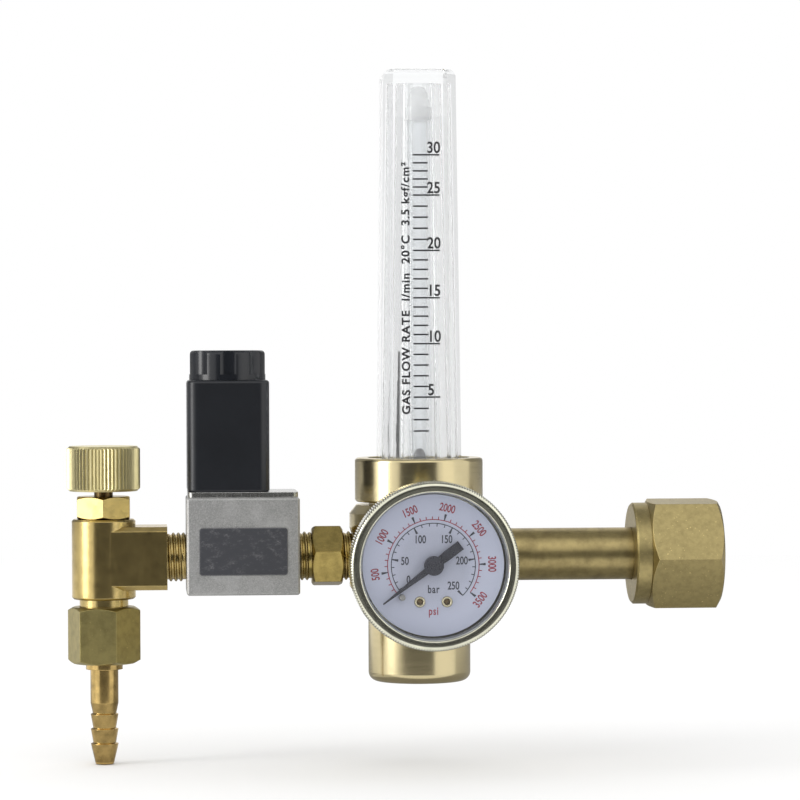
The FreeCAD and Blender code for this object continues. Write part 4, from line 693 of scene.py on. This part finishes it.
def dial_marks(thin, bold, arc, sign, full, step, numbered, degrees_each):
    """An arc with a mark at each step, and at each number a longer one that widens away from the arc.

    The pointer rests over the zero, so the marks start just above it.
    """
    add_arc(thin, arc, DIAL_START, DIAL_ZERO - full * degrees_each, LINE)
    for count in range(step, full + 1, step):
        degrees = DIAL_ZERO - count * degrees_each
        if degrees > DIAL_START:
            continue
        if count % numbered:
            add_wedge(thin, arc, arc + sign * MINOR_TICK, degrees, LINE, LINE)
        else:
            add_wedge(bold, arc, arc + sign * MAJOR_TICK, degrees, LINE, WEDGE)


def gauge_print():
    low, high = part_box("gauge_dial")
    centre = Vector(((low.x + high.x) / 2, low.y - PRINT_LIFT, (low.z + high.z) / 2))
    to_dial = Matrix.Translation(centre) @ FACE_FRONT
    dark, red = bmesh.new(), bmesh.new()
    dial_marks(dark, dark, BAR_ARC, -1, BAR_FULL, BAR_STEP, BAR_NUMBERED, DEGREES_PER_BAR)
    for count in range(0, BAR_FULL + 1, BAR_NUMBERED):
        place = on_circle(BAR_NUMBER_RADIUS, min(DIAL_ZERO - count * DEGREES_PER_BAR, ZERO_PLACE))
        add_text(dark, str(count), DIAL_DIGITS, place[:2], DIAL_NARROW)
    add_text(dark, "bar", DIAL_DIGITS, (0, BAR_WORD_DROP), DIAL_NARROW, spacing=WORD_SPACING)
    psi_degrees = DEGREES_PER_BAR / PSI_PER_BAR
    dial_marks(red, dark, PSI_ARC, 1, PSI_FULL, PSI_STEP, PSI_NUMBERED, psi_degrees)
    for count in range(PSI_NUMBERED, PSI_FULL + 1, PSI_NUMBERED):
        degrees = DIAL_ZERO - count * psi_degrees
        place = on_circle(PSI_NUMBER_RADIUS, degrees)
        upright = degrees - 90 if degrees > 0 else degrees + 90
        add_text(red, str(count), DIAL_DIGITS, place[:2], DIAL_NARROW, turn=math.radians(upright))
    add_text(red, "psi", DIAL_DIGITS, (0, PSI_WORD_DROP), DIAL_NARROW, spacing=WORD_SPACING)
    for name, shape, material in (("dial_bar_print", dark, DIAL_INK), ("dial_psi_print", red, RED_INK)):
        shape.transform(to_dial)
        add_piece(name, mesh_from(name, shape), material)


def scale_height(count):
    """Where a flow reads on the scale, evenly between the marks with a height of their own."""
    known = sorted(SCALE_HEIGHTS)
    upper = next(mark for mark in known if mark >= count)
    lower = known[max(known.index(upper) - 1, 0)]
    if upper == count:
        return SCALE_HEIGHTS[count] * MM
    share = (count - lower) / (upper - lower)
    return (SCALE_HEIGHTS[lower] + share * (SCALE_HEIGHTS[upper] - SCALE_HEIGHTS[lower])) * MM


def flow_scale():
    """Marks, numbers and units on the cover's front, which leans back by its taper."""
    low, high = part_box("flow_cover")
    shape = bmesh.new()
    for count in range(min(SCALE_HEIGHTS), max(SCALE_HEIGHTS) + 1):
        numbered = count % SCALE_STEP == 0
        height = scale_height(count) - low.z
        add_bar(shape, TICK_LEFT, TICK_LONG if numbered else TICK_SHORT, height, TICK_THICKNESS)
        if numbered:
            place = (SCALE_DIGIT_LEFT, height + SCALE_DIGITS * CAP_SHARE + SCALE_DIGIT_GAP)
            add_text(shape, str(count), SCALE_DIGITS, place, SCALE_NARROW, "LEFT")
    place = (CAPTION_X, CAPTION_FOOT - low.z)
    add_text(shape, CAPTION, CAPTION_SIZE, place, align="LEFT", turn=math.radians(90),
             length=CAPTION_LENGTH, spacing=WORD_SPACING, bold=CAPTION_BOLD)
    lean = math.atan(COVER_TAPER / (high.z - low.z))
    face = Vector((middle("flow_cover").x, -COVER_FOOT_HALF - PRINT_LIFT, low.z))
    shape.transform(Matrix.Translation(face) @ Matrix.Rotation(-lean, 4, "X") @ FACE_FRONT)
    add_piece("flow_scale_print", mesh_from("flow_scale_print", shape), BLACK_INK)


def thread(name, start, length, root, crest, pitch, material, body="frame"):
    """A helical ridge about the X axis, fading in and out over its first and last half turn."""
    shape = bmesh.new()
    count = round(length / pitch * THREAD_STEPS)
    rows = []
    for i in range(count + 1):
        turn = 2 * math.pi * i / THREAD_STEPS
        along = start + length * i / count
        fade = min(1, i / (THREAD_STEPS / 2), (count - i) / (THREAD_STEPS / 2))
        top = root + (crest - root) * fade
        row = []
        for share, offset in THREAD_FORM:
            x = min(max(along + offset * pitch, start), start + length)
            radius = root + (top - root) * share
            row.append(shape.verts.new((x, radius * math.cos(turn), radius * math.sin(turn))))
        rows.append(row)
    for one, other in zip(rows, rows[1:]):
        for k in range(len(one) - 1):
            shape.faces.new((one[k], one[k + 1], other[k + 1], other[k])).smooth = True
    bmesh.ops.recalc_face_normals(shape, faces=shape.faces)
    add_piece(name, mesh_from(name, shape), material, body)


def threads():
    block_low, block_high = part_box("valve_block")
    hex_right = block_high.x + ADAPTER_SHOW + ADAPTER_HEX
    starts = {
        "shank_thread": (block_low.x - SHANK_SHOW, SHANK_SHOW),
        "adapter_thread": (block_high.x, ADAPTER_SHOW),
        "adapter_body_thread": (hex_right, ADAPTER_NECK),
    }
    for name, (start, length) in starts.items():
        thread(name, start, length, PIPE_ROOT, PIPE_MAJOR, PIPE_PITCH, THREAD_BRASS)
    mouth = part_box("inlet_nut")[1].x
    thread("nut_thread", mouth - NUT_THREAD_LENGTH, NUT_THREAD_LENGTH, NUT_BORE,
           NUT_BORE - NUT_THREAD_RISE, NUT_PITCH, NUT_BRASS, "inlet_nut")


def gauge_bezel():
    """The bezel ring, with ridges round its rim that run out over its rounded crest."""
    low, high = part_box("gauge_bezel")
    centre = (low + high) / 2
    outer = (high.x - low.x) / 2
    case_low, case_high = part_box("gauge_case")
    inner = (case_high.x - case_low.x) / 2 + CASE_GAP
    lens_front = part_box("gauge_lens")[0].y
    face_inner = BEZEL_OPENING + BEZEL_INNER_ROUND
    face_back = low.y + BEZEL_FACE_SINK
    shape = bmesh.new()
    rings = []
    for i in range(2 * BEZEL_TEETH):
        turn = math.pi * i / BEZEL_TEETH
        dip = BEZEL_TOOTH if i % 2 else 0
        section = [(inner, high.y), (outer - dip, high.y)]
        smooth_start = len(section) + RIDGE_STEPS
        for k in range(BEZEL_ROUND_STEPS + 1):
            bend = math.pi / 2 * k / BEZEL_ROUND_STEPS
            ridge = dip * max(0, 1 - k / RIDGE_STEPS)
            section.append((outer - ridge - BEZEL_ROUND * (1 - math.cos(bend)),
                            low.y + BEZEL_ROUND * (1 - math.sin(bend))))
        for k in range(BEZEL_LIP_STEPS + 1):
            bend = math.pi / 2 * k / BEZEL_LIP_STEPS
            section.append((face_inner - BEZEL_INNER_ROUND * math.sin(bend),
                            face_back + (lens_front - face_back) * (1 - math.cos(bend))))
        smooth_end = len(section)
        section.append((inner, lens_front))
        rings.append([shape.verts.new((centre.x + r * math.cos(turn), y, centre.z + r * math.sin(turn)))
                      for r, y in section])
    for i, ring in enumerate(rings):
        following = rings[(i + 1) % len(rings)]
        for k in range(len(ring)):
            after = (k + 1) % len(ring)
            face = shape.faces.new((ring[k], ring[after], following[after], following[k]))
            face.smooth = smooth_start <= k < smooth_end
    bmesh.ops.recalc_face_normals(shape, faces=shape.faces)
    piece = add_piece("knurled_bezel", mesh_from("knurled_bezel", shape), KNURLED_NICKEL)
    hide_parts("gauge_bezel")


def eyelets():
    """The dial's two rolled rims around open holes."""
    low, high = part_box("dial_eyelets")
    dial_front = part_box("gauge_dial")[0].y
    outer = (high.z - low.z) / 2
    hole = outer * EYELET_HOLE_SHARE
    section = []
    for k in range(EYELET_RIM_STEPS + 1):
        bend = math.pi * k / EYELET_RIM_STEPS
        section.append(((outer + hole) / 2 + (outer - hole) / 2 * math.cos(bend),
                        dial_front + (low.y - dial_front) * math.sin(bend)))
    section.append((hole, high.y))
    middle_z = (low.z + high.z) / 2
    shape = bmesh.new()
    for centre_x in (low.x + outer, high.x - outer):
        rings = []
        for i in range(EYELET_STEPS):
            turn = 2 * math.pi * i / EYELET_STEPS
            rings.append([shape.verts.new((centre_x + r * math.cos(turn), y, middle_z + r * math.sin(turn)))
                          for r, y in section])
        for ring, following in zip(rings, rings[1:] + rings[:1]):
            for k in range(len(section) - 1):
                shape.faces.new((ring[k], ring[k + 1], following[k + 1], following[k])).smooth = True
    bmesh.ops.recalc_face_normals(shape, faces=shape.faces)
    piece = add_piece("rolled_eyelets", mesh_from("rolled_eyelets", shape), EYELET_BRASS)
    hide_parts("dial_eyelets")


def cover_row(inset, height):
    """Points around the cover's cut-cornered square, drawn in by the inset."""
    flat = COVER_FOOT_HALF - inset
    cut = COVER_FOOT_HALF - COVER_CORNER - inset * (math.sqrt(2) - 1)
    corners = [(flat, -cut), (flat, cut), (cut, flat), (-cut, flat),
               (-flat, cut), (-flat, -cut), (-cut, -flat), (cut, -flat)]
    row = []
    for k, start in enumerate(corners):
        end = corners[(k + 1) % len(corners)]
        steps = CORNER_STEPS if k % 2 else FLAT_STEPS
        row += [Vector((*start, height)).lerp(Vector((*end, height)), i / steps) for i in range(steps)]
    return row


def round_row(radius, height):
    """Points around a circle, in the same directions as a row of the cover."""
    return [Vector((*point.xy.normalized() * radius, height)) for point in cover_row(0, height)]


def clear_piece(name, node, slot, rows, closed_ends):
    """A clear moulding from rows of points about its node's axis, joined in turn."""
    shape = bmesh.new()
    rings = [[shape.verts.new(point) for point in row] for row in rows]
    pairs = list(zip(rings, rings[1:]))
    if not closed_ends:
        pairs.append((rings[-1], rings[0]))
    for one, other in pairs:
        for i in range(len(one)):
            after = (i + 1) % len(one)
            shape.faces.new((one[i], one[after], other[after], other[i]))
    if closed_ends:
        for ring in (rings[0], rings[-1]):
            shape.faces.new(ring)
    for face in shape.faces:
        face.smooth = True
    bmesh.ops.recalc_face_normals(shape, faces=shape.faces)
    centre = middle(node)
    shape.transform(Matrix.Translation((centre.x, centre.y, 0)))
    mesh = mesh_from(name, shape)
    mesh.set_sharp_from_angle(angle=SHARP_EDGE)
    piece = add_piece(name, mesh, FINISHES[slot])
    piece.visible_shadow = False
    piece.visible_diffuse = False
    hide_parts(node)


def clear_cover():
    """The drafted cover with its rounded top, its flange in the nut and its turned cavity."""
    low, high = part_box("flow_cover")
    flange = (high.x - low.x) / 2
    slope = COVER_TAPER / (high.z - low.z)
    rows = [
        round_row(COVER_TOP_BORE, high.z - COVER_ROOF),
        round_row(COVER_FOOT_BORE, low.z),
        round_row(flange, low.z),
        round_row(flange, low.z + COVER_FLANGE),
        cover_row(slope * COVER_FLANGE, low.z + COVER_FLANGE),
    ]
    shoulder = high.z - COVER_ROUND
    for i in range(FILLET_STEPS + 1):
        bend = math.pi / 2 * i / FILLET_STEPS
        inset = slope * (shoulder - low.z) + COVER_ROUND * (1 - math.cos(bend))
        rows.append(cover_row(inset, shoulder + COVER_ROUND * math.sin(bend)))
    clear_piece("moulded_cover", "flow_cover", "clear_plastic", rows, closed_ends=True)


def clear_tube():
    """The metering tube, whose bore widens upwards."""
    low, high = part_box("metering_tube")
    outer = (high.x - low.x) / 2
    rows = [
        round_row(TUBE_FOOT_BORE, low.z), round_row(outer, low.z),
        round_row(outer, high.z), round_row(TUBE_TOP_BORE, high.z),
    ]
    clear_piece("drawn_tube", "metering_tube", "clear_tube", rows, closed_ends=False)


def flexing_spring(name, node):
    """A copy of a wound spring node, in steel, that takes the node's place."""
    mesh = nodes[node].data.copy()
    mesh.materials.clear()
    piece = add_piece(name, mesh, FINISHES["steel"])
    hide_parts(node)
    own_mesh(piece)


def bare_plate():
    """The blank plate on the valve block's front."""
    low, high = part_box("valve_block")
    shape = bmesh.new()
    half_width = PLATE_WIDTH / 2 - PLATE_CORNER
    half_height = PLATE_HEIGHT / 2 - PLATE_CORNER
    step = 90 / PLATE_CORNER_STEPS
    outline = []
    for side, rise, start in ((1, 1, 0), (-1, 1, 90), (-1, -1, 180), (1, -1, 270)):
        corner = Vector((side * half_width, rise * half_height, 0))
        outline += [shape.verts.new(corner + on_circle(PLATE_CORNER, start + step * i))
                    for i in range(PLATE_CORNER_STEPS + 1)]
    face = shape.faces.new(outline)
    raised = bmesh.ops.extrude_face_region(shape, geom=[face])
    tops = [item for item in raised["geom"] if isinstance(item, bmesh.types.BMVert)]
    bmesh.ops.translate(shape, verts=tops, vec=(0, 0, PLATE_THICKNESS))
    bmesh.ops.recalc_face_normals(shape, faces=shape.faces)
    place = Vector(((low.x + high.x) / 2, low.y, PLATE_MIDDLE))
    shape.transform(Matrix.Translation(place) @ FACE_FRONT)
    add_piece("bare_plate", mesh_from("bare_plate", shape), PLATE_FINISH)


# Stage
def matt_paper(name, level, glowing):
    """Grey paper that the lamps light, or that gives off its own even light."""
    material, _, shader = new_material(name)
    tone = (level, level, level, 1)
    shader.inputs["Base Color"].default_value = (0, 0, 0, 1) if glowing else tone
    if glowing:
        shader.inputs["Emission Color"].default_value = tone
        shader.inputs["Emission Strength"].default_value = 1
    shader.inputs["Roughness"].default_value = 1
    shader.inputs["Specular IOR Level"].default_value = 0
    return material


def stage_sheet(name, corners, level, glowing=False):
    mesh = bpy.data.meshes.new(name)
    mesh.from_pydata(corners, [], [range(len(corners))])
    sheet = bpy.data.objects.new(name, mesh)
    bpy.context.scene.collection.objects.link(sheet)
    sheet.data.materials.append(matt_paper(name, level, glowing))
    return sheet


def floor():
    middle_x = cad_low.x / 2
    under = cad_low.z - FLOOR_GAP
    sides = ((-1, -1), (1, -1), (1, 1), (-1, 1))
    corners = [(middle_x + x * FLOOR_REACH, y * FLOOR_REACH, under) for x, y in sides]
    stage_sheet("floor", corners, FLOOR_LEVEL)


def toward(azimuth, elevation):
    """The direction to a place around the object, from the front to the right and up."""
    side, rise = math.radians(azimuth), math.radians(elevation)
    return Vector((math.sin(side) * math.cos(rise), -math.cos(side) * math.cos(rise), math.sin(rise)))


def softbox(name, azimuth, elevation, distance, width, height, radiance, colour):
    """A lamp panel aimed at the object, given by the brightness of its face."""
    away = toward(azimuth, elevation)
    lamp = bpy.data.lights.new(name, "AREA")
    lamp.shape = "RECTANGLE"
    lamp.size = width
    lamp.size_y = height
    lamp.energy = radiance * math.pi * width * height
    lamp.color = colour
    panel = bpy.data.objects.new(name, lamp)
    panel.location = VIEW_TARGET + away * distance
    panel.rotation_euler = (-away).to_track_quat("-Z", "Y").to_euler()
    bpy.context.scene.collection.objects.link(panel)


def studio_card(name, corners, level, through_glass=False):
    """A card around the object that shows in its reflections only, or only through its clear pieces."""
    card = stage_sheet(name, corners, level, glowing=through_glass)
    card.visible_camera = False
    card.visible_diffuse = False
    card.visible_glossy = not through_glass
    card.visible_transmission = through_glass
    card.visible_volume_scatter = False
    card.visible_shadow = False


def standing_card(name, start, end, level, distance=WALL_DISTANCE, through_glass=False):
    """A flat card that stands beside the object, from one azimuth to another."""
    left, right = toward(start, 0) * distance, toward(end, 0) * distance
    foot, head = Vector((0, 0, cad_low.z)), Vector((0, 0, WALL_TOP))
    middle_x = Vector((cad_low.x / 2, 0, 0))
    corners = [middle_x + corner for corner in (left + foot, right + foot, right + head, left + head)]
    studio_card(name, corners, level, through_glass)


def lying_card(name, left, right, front, back, height, level, through_glass=False):
    """A card that lies level over or under the object."""
    corners = [(left, front, height), (right, front, height), (right, back, height), (left, back, height)]
    studio_card(name, corners, level, through_glass)


def cards():
    """Grey cards that make the bands in the brass, and glowing ones that only the clear pieces show."""
    foot = cad_low.z + CARD_LIFT
    far = [(CARD_LEFT, CARD_FRONT, foot), (CARD_RIGHT, CARD_FRONT, foot)]
    front_top = [(CARD_RIGHT, CARD_FRONT, CARD_TOP), (CARD_LEFT, CARD_FRONT, CARD_TOP)]
    studio_card("front_card", far + front_top, level=0.06)
    studio_card("near_card", far + [(*NEAR_RIGHT, foot), (*NEAR_LEFT, foot)], level=0.13)
    standing_card("left_back_card", start=-170, end=-95, level=0.27)
    standing_card("right_back_card", start=98, end=165, level=0.25)
    standing_card("left_edge_card", start=-110, end=-88, level=0.25, distance=EDGE_DISTANCE,
                  through_glass=True)
    standing_card("right_edge_card", start=88, end=110, level=0.25, distance=EDGE_DISTANCE,
                  through_glass=True)
    standing_card("left_glass_card", start=-168, end=-60, level=0.74, through_glass=True)
    standing_card("right_glass_card", start=60, end=162, level=0.80, through_glass=True)
    lying_card("overhead_card", ROOF_LEFT, ROOF_RIGHT, front=-0.4, back=ROOF_BACK, height=1.2, level=0.30)
    lying_card("top_glass_card", ROOF_LEFT, ROOF_RIGHT, front=-0.6, back=ROOF_BACK, height=1.25, level=0.4,
               through_glass=True)
    lying_card("under_card", TAIL_RIGHT, UNDER_RIGHT, UNDER_FRONT, UNDER_BACK, foot, level=0.34)
    lying_card("under_left_card", TAIL_LEFT, TAIL_RIGHT, TAIL_BACK, UNDER_BACK, foot, level=0.34)
    lying_card("tail_card", TAIL_LEFT, TAIL_RIGHT, UNDER_FRONT, TAIL_BACK, foot, level=0.62)


def lamps():
    softbox("left_strip", azimuth=-71, elevation=6, distance=1.1, width=0.38, height=1.0, radiance=4.8,
            colour=(1, 0.99, 0.97))
    softbox("right_strip", azimuth=50, elevation=10, distance=1.2, width=0.5, height=1.2, radiance=0.3,
            colour=(1, 0.96, 0.86))
    softbox("front_top", azimuth=-6, elevation=44, distance=1.4, width=1.1, height=0.4, radiance=0.3,
            colour=(1, 0.98, 0.94))


def surroundings():
    """White all round: to the eye, in reflections and through clear pieces."""
    world = bpy.data.worlds.new("white_room")
    world.use_nodes = True
    world.node_tree.nodes["Background"].inputs["Color"].default_value = (1, 1, 1, 1)
    bpy.context.scene.world = world


def camera():
    level = math.cos(VIEW_PITCH)
    forward = Vector((math.sin(VIEW_YAW) * level, math.cos(VIEW_YAW) * level, -math.sin(VIEW_PITCH)))
    eye = bpy.data.cameras.new("camera")
    eye.lens = LENS
    eye.sensor_width = SENSOR
    holder = bpy.data.objects.new("camera", eye)
    holder.location = VIEW_TARGET - forward * VIEW_DISTANCE
    turn = forward.to_track_quat("-Z", "Y").to_matrix() @ Matrix.Rotation(VIEW_ROLL, 3, "Z")
    holder.rotation_euler = turn.to_euler()
    bpy.context.scene.collection.objects.link(holder)
    bpy.context.scene.camera = holder


dress_nodes()
gauge_print()
flow_scale()
threads()
gauge_bezel()
eyelets()
clear_cover()
clear_tube()
flexing_spring("plunger_coil_spring", "plunger_spring")
flexing_spring("regulating_coil_spring", "regulating_spring")
bare_plate()
floor()
surroundings()
cards()
lamps()
camera()
bpy.context.scene.view_settings.view_transform = "Standard"
